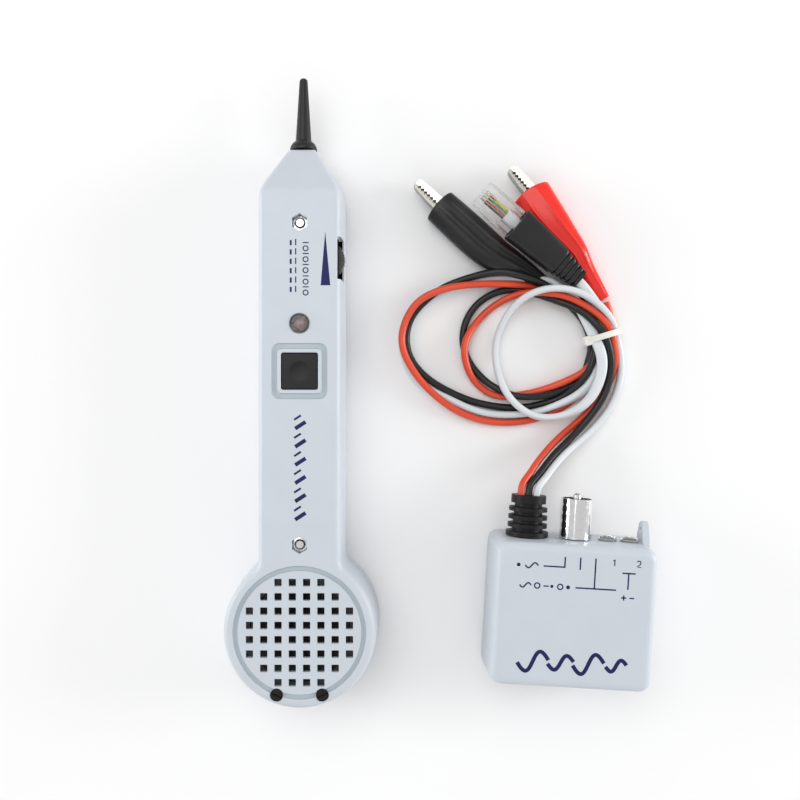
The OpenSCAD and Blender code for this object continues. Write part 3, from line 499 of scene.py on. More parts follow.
BLACK_ROUTE = [
    (90, 51.5, 17), (90.5, 56, 16.5), (93.5, 57.5, 14), (98.5, 63.5, 11), (102.5, 67.5, 8.5),
    (107, 71.5, 6.5), (111, 75.5, 5), (115, 80, 4.5), (118.5, 84.5, 4.5), (121.5, 89, 4.5),
    (124, 94, 4.5), (125, 99.5, 5), (125.5, 105, 6), (124, 111, 7.5), (122.5, 116, 8.5),
    (119, 119.5, 8.5), (115.5, 124.5, 7), (110.5, 128, 7), (105, 130.5, 7), (99.5, 133, 4.5),
    (94, 135.5, 2.5), (88, 136.5, 1.5), (82, 136, 1.5), (75, 133, 1.5), (70, 129, 1.5),
    (66, 123, 1.5), (64.5, 116.5, 1.5), (65, 110.5, 1.5), (67.5, 104.5, 1.5), (71.5, 99.5, 1.5),
    (76, 95.5, 2), (80.5, 93, 3), (85.5, 90.5, 4.5), (93.5, 90, 4.5), (101.5, 90.5, 3.5),
    (108.5, 93, 2), (113.5, 96.5, 1.5), (116.5, 101, 1.5), (118, 105.5, 1.5), (119, 110, 2),
    (118.5, 114.5, 2.5), (116.5, 122.5, 2), (112.5, 128, 2), (107.5, 132, 4), (102, 135.5, 6),
    (96, 138.5, 7), (90, 140, 8), (83, 142, 8), (75.5, 142, 6.5), (67.5, 140, 4.5),
    (60, 137.5, 4.5), (54, 134.5, 4.5), (47.5, 129, 4.5), (43, 123.5, 4.5), (41, 116.5, 4.5),
    (41.5, 109.5, 4.5), (44.5, 103, 4), (51, 96.5, 3), (58, 92.5, 2), (67.5, 88.5, 1.5),
    (77, 86.5, 1.5), (86.5, 85.5, 1.5), (94, 86.5, 1.5), (102, 88.5, 1.5), (108.5, 92, 3),
    (113.5, 95.5, 4.5), (117, 101, 4.5), (119, 107, 5), (120, 111.5, 5), (119.5, 115, 5),
    (118.5, 121, 4.5), (115.5, 125.5, 4), (111.5, 130, 2.5), (108, 132.5, 1.5), (103.5, 135, 2),
    (100, 137, 2.5),
]
CORD_ROUTE = [
    (93, 51, 17, 90), (93.5, 55.5, 16.5, 90), (96.5, 58, 13.5, 90), (100.5, 63, 10.5, 90),
    (105.5, 68, 7.5, 90), (110.5, 71.5, 5, 90), (116, 75.5, 3, 90), (121.5, 81, 2.5, 90),
    (126, 87, 2.5, 90), (129, 94.5, 2.5, 90), (130, 100.5, 2.5, 90), (130, 107.5, 2.5, 90),
    (127, 117, 3.5, 90), (125, 122, 5.5, 90), (121.5, 126.5, 8, 90), (117, 130.5, 9, 90),
    (110, 134, 10.5, 90), (102.5, 135, 10.5, 90), (97, 134.5, 9.5, 90), (91, 132.5, 8, 90),
    (85, 128, 5.5, 90), (81, 121.5, 3.5, 90), (78.5, 115, 2.5, 90), (78, 107.5, 2.5, 90),
    (79, 100, 4.5, 90), (81.5, 93, 7.5, 90), (86, 87.5, 7.5, 90), (92, 83.5, 6, 90),
    (99, 82, 5.5, 80), (106, 83, 5.5, 70), (112.5, 86, 6, 50), (117.5, 91, 6.5, 30),
    (120, 97.5, 7, 15), (121.5, 103.5, 7, 0), (121, 109.5, 7.5, 0), (119, 115, 8, 0),
    (116.5, 123.5, 4.5, 0), (112.5, 128.5, 4.5, 10), (107.5, 133, 3, 40), (101.5, 136.5, 2.5, 70),
    (96, 138, 2.5, 90), (89.5, 139.5, 2.5, 90), (82, 140, 2.5, 90), (72.5, 140, 2.5, 60),
    (63.5, 137.5, 1.5, 20), (54.5, 134, 1.5, 0), (46.5, 128.5, 1.5, 0), (41.5, 121.5, 1.5, 0),
    (40, 114, 1.5, 0), (41, 107, 1.5, 0), (44.5, 99.5, 1.5, 0), (51, 93.5, 1.5, 20),
    (58.5, 89.5, 2, 50), (67.5, 85.5, 2.5, 80), (76.5, 83.5, 2.5, 90), (86, 83.5, 2.5, 90),
    (94, 84.5, 2.5, 90), (102, 87.5, 2.5, 80), (109.5, 91.5, 3.5, 60), (114.5, 96, 4.5, 30),
    (118, 101.5, 5, 10), (120.5, 107, 5, 0), (123, 116, 5.5, 0), (121.5, 121.5, 4.5, 0),
    (119.5, 127.5, 4.5, 0), (117, 131.5, 5, 0), (114, 135.5, 6.5, 0), (111.5, 138, 7.5, 0),
]
LEAD_D = 2.9
CORD_W, CORD_T = 4.4, 2.8


class Lead:
    """A lead's centreline in millimetres with the half sizes and roll of its section."""

    def __init__(self, route, half_w, half_h):
        line = spline([[*q[:3], q[3] if len(q) > 3 else 0] for q in route], 5)
        self.line, self.roll = line[:, :3], line[:, 3]
        self.half_w, self.half_h = half_w, half_h

    def axes(self):
        """Unit vectors across and through the section all along the line."""
        return across_path(self.line, self.roll)

    def length(self):
        """Length in metres."""
        return float(np.linalg.norm(np.diff(self.line, axis=0), axis=1).sum()) * MM


def reach(toward, side, top, half_w, half_h):
    """How far each section reaches in a direction."""
    return np.sqrt(
        ((toward * side).sum(-1) * half_w) ** 2 + ((toward * top).sum(-1) * half_h) ** 2
    )


def ease(values, times):
    """Evens out values along a line and keeps both its ends."""
    for _ in range(times):
        values[1:-1] = (values[:-2] + 2 * values[1:-1] + values[2:]) / 4
    return values


def settle(leads, fixed, rounds=110):
    """Pushes leads apart where their skins would meet, up off the table and out of fixed things.

    fixed is a list of (points, radii) that don't move. Only the push is evened out along a
    lead, so its route keeps its shape."""
    start = [lead.line.copy() for lead in leads]
    counts = [len(lead.line) for lead in leads]
    owner = np.repeat(np.arange(len(leads)), counts)
    number = np.concatenate([np.arange(c) for c in counts])
    wide = np.repeat([lead.half_w for lead in leads], counts)
    high = np.repeat([lead.half_h for lead in leads], counts)
    still_p = np.vstack([p for p, _ in fixed])
    still_r = np.concatenate([r for _, r in fixed])
    hold = np.concatenate([np.clip(np.minimum(np.arange(c), np.arange(c)[::-1]) / 6, 0, 1)
                           for c in counts])[:, None]
    for step in range(rounds):
        p = np.vstack([lead.line for lead in leads])
        side, top = (np.vstack(v) for v in zip(*[lead.axes() for lead in leads]))
        if step % 10 == 0:
            near = np.linalg.norm(p[:, None] - p[None], axis=2) < 6.5
            same = (owner[:, None] == owner[None]) & (abs(number[:, None] - number[None]) < 12)
            i, j = np.nonzero(near & ~same)
            ends = np.linalg.norm(p[:, None] - still_p[None], axis=2) < 14
            a, b = np.nonzero(ends)
        push = np.zeros_like(p)
        gap = p[i] - p[j]
        dist = np.linalg.norm(gap, axis=1)
        toward = gap / np.maximum(dist, 1e-6)[:, None]
        need = (reach(toward, side[i], top[i], wide[i], high[i])
                + reach(toward, side[j], top[j], wide[j], high[j]) + 0.06)
        np.add.at(push, i, toward * (np.clip(need - dist, 0, None) * 0.16)[:, None])
        gap = p[a] - still_p[b]
        dist = np.linalg.norm(gap, axis=1)
        toward = gap / np.maximum(dist, 1e-6)[:, None]
        need = reach(toward, side[a], top[a], wide[a], high[a]) + still_r[b]
        np.add.at(push, a, toward * (np.clip(need - dist, 0, None) * 0.2)[:, None])
        size = np.linalg.norm(push, axis=1)[:, None]
        push *= np.minimum(1, 0.35 / np.maximum(size, 1e-6)) * hold
        down = np.broadcast_to([0.0, 0.0, 1.0], p.shape)
        sink = reach(down, side, top, wide, high) + 0.05 - (p + push)[:, 2]
        push[:, 2] += np.clip(sink, 0, None)
        at = 0
        for lead, first, count in zip(leads, start, counts):
            moved_by = lead.line + push[at:at + count] - first
            lead.line = first + ease(moved_by, 2)
            at += count


RED_LEAD = Lead(RED_ROUTE, LEAD_D / 2, LEAD_D / 2)
BLACK_LEAD = Lead(BLACK_ROUTE, LEAD_D / 2, LEAD_D / 2)
LINE_CORD = Lead(CORD_ROUTE, CORD_W / 2, CORD_T / 2)

# Boot stations from the mouth to the lead: x, y, z, half width, half height.
BLACK_BOOT = [
    (55.1, 169.3, 4.9, 7.3, 4.85), (61.0, 163.9, 4.9, 7.6, 4.85), (67.0, 158.4, 4.9, 7.8, 4.85),
    (72.5, 153.4, 4.9, 7.7, 4.8), (77.5, 149.3, 4.9, 7.2, 4.7), (83.7, 146.2, 4.5, 6.0, 4.4),
    (89.1, 143.6, 3.8, 4.5, 3.7), (94.8, 140.2, 3.1, 3.4, 3.0), (99.8, 136.9, 2.6, 2.5, 2.4),
]
RED_BOOT = [
    (92.7, 174.4, 4.9, 8.2, 4.85), (97.1, 167.6, 4.9, 8.0, 4.85), (102.5, 160.7, 4.9, 7.1, 4.8),
    (107.7, 154.9, 4.7, 5.6, 4.5), (111.7, 150.5, 4.3, 4.6, 4.1), (114.1, 145.6, 3.7, 3.7, 3.5),
    (118.8, 138.2, 3.0, 3.1, 2.9), (123.2, 131.4, 2.5, 2.3, 2.3),
]


def boot_solid(stations, last):
    """What the leads keep clear of: the boot's middle line and its half height."""
    line = spline(stations, 4)[:last]
    return line[:, :3], line[:, 4]


PLUG_BOOT_LINE = moved([(x, 0, 0) for x in np.arange(3, 30, 2.0)], PLUG)
settle(
    [RED_LEAD, BLACK_LEAD, LINE_CORD],
    [boot_solid(BLACK_BOOT, 24), boot_solid(RED_BOOT, 26),
     (PLUG_BOOT_LINE, np.linspace(3.4, 5.0, len(PLUG_BOOT_LINE)))],
)


def lead_piece(name, lead, node, material, slot, power=2.0):
    """Swept skin of a lead."""
    rings = section(lead.line, lead.half_w, lead.half_h, lead.roll, 20, power)
    return piece(name, [skin(list(rings))], material, "generator",
                 slot=slot, replaces=[node], angle=60)


red_skin = lead_piece("red_lead_skin", RED_LEAD, "red_lead", RED_WIRE, "red_insulation")
black_skin = lead_piece("black_lead_skin", BLACK_LEAD, "black_lead", BLACK_WIRE, "black_vinyl")
cord_skin = lead_piece("line_cord_skin", LINE_CORD, "line_cord", CORD_GREY, "grey_jacket", 2.7)

# ---------------------------------------------------------------- probe case

GRIP, SHOULDER, NOSE_W, WALL = 16.7, 171.0, 5.7, 2.2
BOLT_YS = [158.0, 33.6]
WHEEL_Y = 144.3
TERMINAL_X, TERMINAL_Y = 8.8, -24
GRILLE_PITCH, GRILLE_HOLE = 5.5, 2.85
GRILLE_ROWS = [4, 6, 8, 8, 8, 8, 6, 4]


def half_outline(inset):
    """Right half of the probe's plan, from the back of the head round to the nose."""
    neck = np.array([GRIP + 5, sqrt((HEAD_R + 5) ** 2 - (GRIP + 5) ** 2)])
    r, f, hw, nose = HEAD_R - inset, 5 + inset, GRIP - inset, NOSE_W - inset / 2
    turn = atan2(neck[1], neck[0])
    a = np.linspace(-pi / 2, turn, 44)
    head = np.stack([r * np.cos(a), r * np.sin(a)], 1)
    a = np.linspace(turn + pi, pi, 9)[1:]
    fillet = neck + f * np.stack([np.cos(a), np.sin(a)], 1)
    side = [(hw, y) for y in np.linspace(neck[1], SHOULDER - 4, 10)[1:]]
    end = NOSE_Y - inset
    slope = np.array([nose - hw, end - SHOULDER]) / (end - SHOULDER)
    low, knee = np.array([hw, SHOULDER - 4]), np.array([hw, SHOULDER])
    high = knee + slope * 4
    bend = [low * (1 - t) ** 2 + knee * 2 * t * (1 - t) + high * t * t
            for t in np.linspace(0, 1, 7)[1:]]
    taper = [high + slope * (end - high[1]) * t for t in np.linspace(0, 1, 8)[1:-1]]
    corner = [(nose + 0.15, end - 0.7), (nose - 0.3, end - 0.1), (nose - 0.8, end)]
    return np.vstack([head, fillet, side, bend, taper, corner, [(0, end)]])


def probe_ring(inset, z):
    """Ring round the probe at one level, which tapers towards the seam at the nose."""
    half = half_outline(inset)
    xy = np.vstack([half, (half[1:-1] * [-1, 1])[::-1]])
    run = np.clip((xy[:, 1] - SHOULDER + 2) / (NOSE_Y - SHOULDER), 0, 1.1)
    run = np.where(run < 0.2, run**2 / 0.4, run - 0.1)
    if z > SEAM:
        level = SEAM + (z - SEAM) * (1 - run * 11 / (TOP - SEAM))
    else:
        level = SEAM - (SEAM - z) * (1 - run * 9 / SEAM)
    return np.column_stack([xy, level])


def rounded(radius, inset, z, up=1, n=6):
    """(inset, z) levels of a quarter round from a wall to a face."""
    a = np.linspace(0, pi / 2, n)
    return [(inset + radius * (1 - cos(q)), z + up * radius * sin(q)) for q in a]


def shell_from(ring, inner, outer):
    """Hollow shell whose rings run from the hollow's end over its rim to the outer face."""
    return skin([ring(*level) for level in inner + outer], caps="strips")


def tower(x, y, r, low, high):
    """Solid post inside a case."""
    return place(rod(r, low, high), shift(x, y))


def hole(x, y, r, low, high, n=40, turn=0.0, lip=0.25):
    """Cutter for a round or many-sided hole with a chamfered edge at its top."""
    return place(spin([(0, low), (r, low), (r, high - lip), (r + lip, high + 0.02),
                       (r + lip, high + 3), (0, high + 3)], n, turn), shift(x, y))


def slot_cut(w, d, r, low, high, x=0.0, y=0.0, lip=0.2):
    """Cutter for a rounded-rectangle hole with a chamfered edge at its top."""
    return place(pad([(w, d, r, low), (w, d, r, high - lip),
                      (w + 2 * lip, d + 2 * lip, r + lip, high + 0.02),
                      (w + 2 * lip, d + 2 * lip, r + lip, high + 3)], 4), shift(x, y))


def screw_recess(x, y, shoulder, end):
    """Cutter for a screw's head and shank through the back of a case."""
    return place(spin([(0, -1), (3.2, -1), (3.0, 0.2), (3.0, shoulder), (1.6, shoulder + 0.05),
                       (1.6, end), (0, end)], 32), shift(x, y))


def finish_case(obj, body, node):
    """Finish of one half of a case, in place of its CAD node."""
    finish_piece(obj, SHELL, body, slot="light_grey_plastic", replaces=[node], angle=26)


def groove_ring(rings_in, rings_out, x, y):
    """Cutter for a groove between two closed outlines, each given from top to bottom."""
    return place(skin(rings_in + rings_out[::-1], loop=True), shift(x, y))


probe_front = new_object("probe_front_case", [
    shell_from(probe_ring,
               [(3.4, TOP - WALL), (2.5, TOP - WALL - 0.5), (WALL, TOP - 4), (WALL, SEAM + 0.06)],
               [(0.45, SEAM + 0.06), (0.08, SEAM + 0.35), (0.75, TOP - 2.5)]
               + rounded(2.5, 0.8, TOP - 2.5)[1:] + [(3.7, TOP)]),
    *[tower(0, y, 4.2, SEAM + 0.5, TOP - 1) for y in BOLT_YS],
])
cuts = [
    slot_cut(GRILLE_HOLE, GRILLE_HOLE, 0.3, TOP - 4, TOP,
             (i - (n - 1) / 2) * GRILLE_PITCH, (j - 3.5) * GRILLE_PITCH)
    for j, n in enumerate(GRILLE_ROWS)
    for i in range(n)
]
cuts.append(skin([circle(r, z, 96) for r, z in (
    (23.75, TOP + 2), (23.78, TOP), (24.05, TOP - 0.6), (25.45, TOP - 0.6), (25.72, TOP),
    (25.75, TOP + 2))], loop=True))
cuts.append(groove_ring(
    [rect_ring(w, w, 2.0, z, 6) for w, z in ((16.9, TOP + 2), (17.0, TOP), (17.7, TOP - 0.6))],
    [rect_ring(w, w, 3.0, z, 6) for w, z in ((21.7, TOP + 2), (21.6, TOP), (20.9, TOP - 0.6))],
    BUTTON[0], BUTTON[1]))
cuts.append(slot_cut(14.3, 14.3, 0.9, 20, TOP, BUTTON[0], BUTTON[1], 0.3))
cuts.append(hole(LED[0], LED[1], 3.85, 20, TOP))
cuts += [hole(0, y, 3.35, 25.6, TOP, 6, pi / 6, 0.2) for y in BOLT_YS]
cuts += [hole(0, y, 1.6, 5, 27, 24) for y in BOLT_YS]
cuts += [hole(side * TERMINAL_X, TERMINAL_Y, 2.45, 20, TOP) for side in (-1, 1)]
cuts.append(slot_cut(7.2, 16.4, 0.6, 18, TOP, 18.0, WHEEL_Y, 0.3))
cuts.append(place(rod(3.3, 0, 12), along_y(0, NOSE_Y - 8, 14.5)))
combine(probe_front, cuts)
finish_case(probe_front, "probe", "probe_front_shell")
# Faces on the floors of the grille ring and button frame grooves take the darker grey as painted
# shade
probe_front.data.materials.append(SHELL_GROOVE_SHADE)
for face in probe_front.data.polygons:
    x, y, z = face.center / MM
    ring_groove_shade = 23.7 < sqrt(x * x + y * y) < 25.8
    frame_groove_shade = 8.4 < max(abs(x - BUTTON[0]), abs(y - BUTTON[1])) < 10.9
    if TOP - 0.7 < z < TOP - 0.02 and (ring_groove_shade or frame_groove_shade):
        face.material_index = 1

probe_rear = new_object("probe_rear_case", [
    shell_from(probe_ring,
               [(3.4, WALL), (2.5, WALL + 0.5), (WALL, 4), (WALL, SEAM - 0.02)],
               [(0.45, SEAM - 0.02), (0.05, SEAM - 0.3), (0.1, 1.8)]
               + rounded(1.8, 0.1, 1.8, -1)[1:] + [(2.4, 0.0)]),
    *[tower(0, y, 4.2, 1.0, SEAM - 0.1) for y in BOLT_YS],
])
combine(probe_rear, [screw_recess(0, y, 3.2, 19) for y in BOLT_YS])
finish_case(probe_rear, "probe", "probe_rear_shell")

# ---------------------------------------------------------------- generator case

GEN_W, GEN_D = 63.4, 56.4
TOP_Y = GEN_D / 2
PORT_Z = 17.0
GEN_SCREW = (21, 8)


def gen_ring(inset, z):
    """Ring round the generator at one level; its walls lean in a little above the seam."""
    lean = max(z - GEN_SEAM, 0) * 0.03
    w, d = GEN_W - 2 * (inset + lean), GEN_D - 2 * (inset + lean * 0.9)
    return rect_ring(w, d, max(4.4 - inset * 0.6, 1.2), z, 8)


def gen_shell(levels):
    """Hollow shell of the generator through (inset, z) levels."""
    return skin([gen_ring(*level) for level in levels])


def lug():
    """Loop for a lanyard at the corner of the socket wall."""
    a = np.linspace(-0.45 * pi, 0.45 * pi, 12)
    side = [(26.0, 9.8), (29.0, 10.2)]
    side += [(32.6 + 3.8 * cos(q), 16 + 3.8 * sin(q)) for q in a]
    side += [(29.0, 21.8), (26.0, 22.2)]
    flat = np.array(side)
    middle = flat.mean(0)
    rings = []
    for x, scale in ((27.6, 0.90), (27.95, 1.0), (30.05, 1.0), (30.4, 0.90)):
        yz = middle + (flat - middle) * scale
        rings.append(np.column_stack([np.full(len(yz), x), yz]))
    return skin(rings)


gen_front = new_object("generator_front_case", [
    place(part, GEN) for part in (
        gen_shell([(3.6, GEN_TOP - WALL), (2.6, GEN_TOP - WALL - 0.5), (WALL, GEN_TOP - 4),
                   (WALL, GEN_SEAM + 0.06), (0.35, GEN_SEAM + 0.06), (0.08, GEN_SEAM + 0.35)]
                  + rounded(3.0, 0.1, GEN_TOP - 3.0, n=8) + [(3.6, GEN_TOP)]),
        tower(*GEN_SCREW, 3.6, GEN_SEAM, GEN_TOP - 1),
        lug(),
    )
])
gen_cuts = [place(rod(r, -6, 8, 40), along_y(x, TOP_Y, PORT_Z))
            for x, r in ((-17.8, 5.6), (1.5, 3.1), (14.4, 3.7), (23.2, 3.7))]
through = np.eye(4)
through[:3, :3] = [[0, 0, 1], [0, 1, 0], [-1, 0, 0]]
through[:3, 3] = 26.6, TOP_Y + 4.4, 16
gen_cuts.append(place(rod(1.45, 0, 6, 28), through))
gen_cuts.append(place(rod(1.45, 6, 22, 24), shift(*GEN_SCREW)))
combine(gen_front, [place(cut, GEN) for cut in gen_cuts])
finish_case(gen_front, "generator", "generator_front_shell")

gen_rear = new_object("generator_rear_case", [
    place(part, GEN) for part in (
        gen_shell([(3.6, WALL), (2.6, WALL + 0.5), (WALL, 4), (WALL, GEN_SEAM - 0.02),
                   (0.35, GEN_SEAM - 0.02), (0.05, GEN_SEAM - 0.3)]
                  + rounded(2.0, 0.1, 2.0, -1, 7) + [(2.6, 0.0)]),
        tower(*GEN_SCREW, 3.6, 1.0, GEN_SEAM - 0.1),
    )
])
combine(gen_rear, [place(screw_recess(*GEN_SCREW, 4, 12), GEN)])
finish_case(gen_rear, "generator", "generator_rear_shell")

# ---------------------------------------------------------------- nuts and the wheel slot's painted shade


def nut(y):
    """Hex nut with a chamfered crown and an open thread round the bolt's end."""
    a = np.arange(48) * 2 * pi / 48
    flat = np.abs((a + pi / 6) % (pi / 3) - pi / 6)
    hexagon = 3.17 * cos(pi / 6) / np.cos(flat)

    def ring(r, z):
        return np.column_stack([r * np.cos(a), y + r * np.sin(a), np.full(48, z)])

    crown = np.minimum(hexagon, 2.85)
    return skin([ring(r, z) for r, z in (
        (hexagon, 25.6), (hexagon, 27.5), (crown, 27.95), (crown * 0 + 2.2, 28.0),
        (crown * 0 + 1.95, 27.8), (crown * 0 + 1.8, 26.0), (crown * 0 + 1.8, 25.6))], loop=True)


piece("case_nuts", [nut(y) for y in BOLT_YS], CHROME, "probe", slot="bright_steel",
      replaces=["probe_case_nuts"], angle=24)
# Black pad on the floor of the wheel slot: painted shade inside the slot
well_shade_floor = pad([(4.6, 17.0, 0.4, 0), (4.6, 17.0, 0.4, 0.5), (4.2, 16.6, 0.4, 0.7)], 3)
piece("wheel_well_painted_shade", [place(well_shade_floor, shift(13.7, WHEEL_Y, 17.3))], BLACK, "probe",
      slot="black_plastic")

# ---------------------------------------------------------------- jaws

CHEEK = 0.5
TOOTH = 1.7
# Where the teeth of the two jaws meet, off the clip's middle line.
BITE = 0.75


def jaw_piece(colour, side, body):
    """One toothed half of a clip: two cheeks and the spine that joins them."""
    m = clip_axes(colour)
    half = 2.0 if side < 0 else 2.5
    back = [(13.5, -1.5), (12.6, -2.2), (6.0, -2.75), (0, -2.9), (-4, -3.2), (-9, -3.6),
            (-9, -2.6), (-6, -1.2), (-3.2, -1.0)]
    if side > 0:
        back = [(x, -y) for x, y in back]
    edge = [(-3.0, BITE + side * 0.1), (-1.2, BITE + side * 0.1)]
    for x in np.arange(8) * TOOTH:
        edge += [(x - 0.75, BITE + side * 1.0), (x + 0.1, BITE + side * 0.16)]
    edge.append((13.5, BITE + side * 0.2))
    flat = np.array(edge + back)
    middle = flat.mean(0)
    parts = []
    for z in (-half, half - CHEEK):
        rings = [
            np.column_stack([flat + (middle - flat) * s, np.full(len(flat), z + dz)])
            for dz, s in ((0.0, 0.015), (0.06, 0.0), (CHEEK - 0.06, 0.0), (CHEEK, 0.015))
        ]
        parts.append(place(skin(rings), m))
    spine = np.array(back[:6])
    loop = np.vstack([spine, (spine - [0, CHEEK * side])[::-1]])
    parts.append(place(skin([np.column_stack([loop, np.full(len(loop), z)])
                             for z in (-half + 0.05, half - 0.05)]), m))
    # Same steel on both jaws; the moving jaw's darker copy is painted shade
    word, lit_or_shaded = ("fixed", JAW_LIT_COPY) if side < 0 else ("moving", JAW_SHADE_COPY)
    piece(f"{colour}_jaw_{word}", parts, lit_or_shaded, body, slot="bright_steel",
          replaces=[f"{colour}_clip_{word}_jaw"], angle=24)


for colour in ("red", "black"):
    jaw_piece(colour, -1, "generator")
    jaw_piece(colour, 1, colour + "_clip_jaw")

# ---------------------------------------------------------------- printed marks

# How far the ink stands above the face, and how far its solid reaches below it.
PROUD, SUNK = 0.03, 0.08


def stroke(points, width, z, closed=False):
    """Thin printed line through points in the plane."""
    p = np.asarray(points, float)
    if closed:
        t = np.roll(p, -1, 0) - np.roll(p, 1, 0)
    else:
        t = np.gradient(p, axis=0)
    t = unit(t)
    n = np.stack([-t[:, 1], t[:, 0]], 1) * width / 2
    rings = [
        np.array([(*(q + m), z + h) for m, h in ((s, PROUD), (-s, PROUD), (-s, -SUNK), (s, -SUNK))])
        for q, s in zip(p, n)
    ]
    return skin(rings, loop=closed)


def disc(x, y, r, z):
    """Printed dot."""
    return place(rod(r, z - SUNK, z + PROUD, 24), shift(x, y))


def hoop(x, y, r, width, z):
    """Printed circle."""
    a = np.arange(32) * 2 * pi / 32
    return stroke(np.stack([x + r * np.cos(a), y + r * np.sin(a)], 1), width, z, closed=True)


def wave(x, y, w, h, width, z, turn=0.0, cycles=1.0, n=24):
    """Printed sine wave of a width and height about a point."""
    u = np.linspace(-0.5, 0.5, n)
    p = np.stack([u * w, np.sin(u * 2 * pi * cycles) * h / 2], 1)
    c, s = cos(turn), sin(turn)
    return stroke(p @ np.array([[c, s], [-s, c]]) + [x, y], width, z)


def digit(shape, x, y, size, z):
    """Printed numeral from its strokes on a unit box."""
    return [stroke(np.array(line) * size + [x, y], 0.42, z) for line in shape]


ONE = [[(0.1, 0.75), (0.35, 1.0), (0.36, 0.0)]]
TWO = [[(0.0, 0.8), (0.15, 0.98), (0.45, 0.98), (0.58, 0.75), (0.5, 0.5), (0.0, 0.02),
        (0.62, 0.02)]]

wedge = np.array([(8.2, 133.6), (11.9, 133.6), (9.95, 154.2)])
probe_marks = [skin([np.column_stack([wedge, np.full(3, TOP + h)]) for h in (-SUNK, PROUD)])]
for y in (131.0, 134.6, 138.2, 141.8, 145.4, 149.0):
    probe_marks.append(stroke([(-3.3, y), (-3.3, y + 2.0)], 0.75, TOP))
    probe_marks.append(stroke([(-1.4, y), (-1.4, y + 2.4)], 0.45, TOP))
for y in (130.8, 135.0, 139.4, 143.6, 147.8):
    probe_marks.append(hoop(2.4, y, 0.95, 0.42, TOP))
    probe_marks.append(stroke([(1.3, y + 2.2), (3.6, y + 2.2)], 0.42, TOP))
for y in (43.5, 50.5, 57.5, 64.5, 71.5, 78.5):
    probe_marks.append(stroke([(-1.6, y), (2.4, y + 2.6)], 1.5, TOP))
    probe_marks.append(stroke([(-2.0, y + 3.4), (0.6, y + 5.1)], 0.8, TOP))
piece("probe_print", probe_marks, PRINT, "probe", slot="light_grey_plastic")

gz = GEN_TOP
GEN_LINES = [
    (0.55, (-13.0, 19.0), (-4.9, 19.0)), (0.55, (-4.9, 18.8), (-4.9, 22.9)),
    (0.55, (1.0, 18.3), (1.0, 23.0)), (0.55, (6.8, 23.0), (6.8, 11.4)),
    (0.55, (-0.4, 11.4), (15.1, 11.4)), (0.55, (17.2, 18.0), (22.2, 18.0)),
    (0.55, (19.6, 18.0), (19.6, 11.8)), (0.5, (-12.6, 11.4), (-10.6, 11.4)),
    (0.5, (17.2, 8.6), (19.2, 8.6)), (0.5, (18.2, 7.6), (18.2, 9.6)),
    (0.5, (20.4, 8.6), (22.2, 8.6)),
]
gen_marks = [stroke(ends, width, gz) for width, *ends in GEN_LINES]
gen_marks += [disc(x, y, r, gz) for x, y, r in ((-22.5, 19.0, 0.7), (-3.2, 11.4, 0.75),
                                                (-9.4, 11.4, 0.6))]
gen_marks += [hoop(x, 11.4, 1.0, 0.5, gz) for x in (-6.2, -15.0)]
gen_marks += [wave(-17.5, 19.0, 5.0, 2.0, 0.55, gz), wave(-19.5, 11.4, 4.4, 1.8, 0.55, gz)]
gen_marks += digit(ONE, 13.2, 20.6, 2.4, gz) + digit(TWO, 22.6, 20.6, 2.4, gz)
for k, (w, h) in enumerate(((12.0, 7.0), (10.0, 5.0), (12.0, 7.0), (8.0, 4.0))):
    gen_marks.append(wave(-15.0 + k * 10.6, -17.5, w, h, 1.5, gz + 0.002 * k, 0.12, 1.0))
piece("generator_print", [place(part, GEN) for part in gen_marks], PRINT, "generator",
      slot="light_grey_plastic")

# ---------------------------------------------------------------- clip boots


def boot_piece(name, stations, last, heading, bulge, ridges, material, node, slot):
    """Soft sleeve from its mouth to the lead: hollow over its first stations, ridged on top."""
    line = spline(stations, 6)
    path, w, h = line[:, :3], line[:, 3], line[:, 4]

    def relief(s, a):
        fade = min(1, s * 9) * min(1, (1 - s) * 3)
        return fade * sum(size * np.exp(-((a - at) / 0.085) ** 2) for at, size in ridges)

    outer = section(path, w, h, n=96, power=2.35, relief=relief)
    inner = section(path[:last], w[:last] - 1.1, h[:last] - 1.1, n=96, power=2.35)
    lip = section(path[:2], w[:2] - 0.5, h[:2] - 0.5, n=96, power=2.35)[0]
    ahead = np.array([cos(heading), sin(heading), 0])
    across = np.array([-ahead[1], ahead[0], 0])

    def pushed(ring, amount):
        u = (ring - path[0]) @ across / w[0]
        return ring + ahead * (amount * np.clip(1 - u**2, 0, 1))[:, None]

    for k in range(8):
        outer[k] = pushed(outer[k], bulge * (1 - k / 8) ** 2)
    for k in range(6):
        inner[k] = pushed(inner[k], bulge * (1 - k / 8) ** 2)
    lip = pushed(lip, bulge) + ahead * 0.35
    rings = list(inner[::-1]) + [lip] + list(outer)
    return piece(name, [skin(rings)], material, "generator", slot=slot, replaces=[node], angle=70)


boot_piece("black_boot_skin", BLACK_BOOT, 26, radians(136), 0.9,
           [(1.05, 0.42), (1.65, 0.5)], BLACK_VINYL, "black_clip_boot", "black_vinyl")
boot_piece("red_boot_skin", RED_BOOT, 22, radians(131), 1.5,
           [(1.35, 0.5), (2.0, 0.42)], RED_VINYL, "red_clip_boot", "red_vinyl")

# ---------------------------------------------------------------- plug


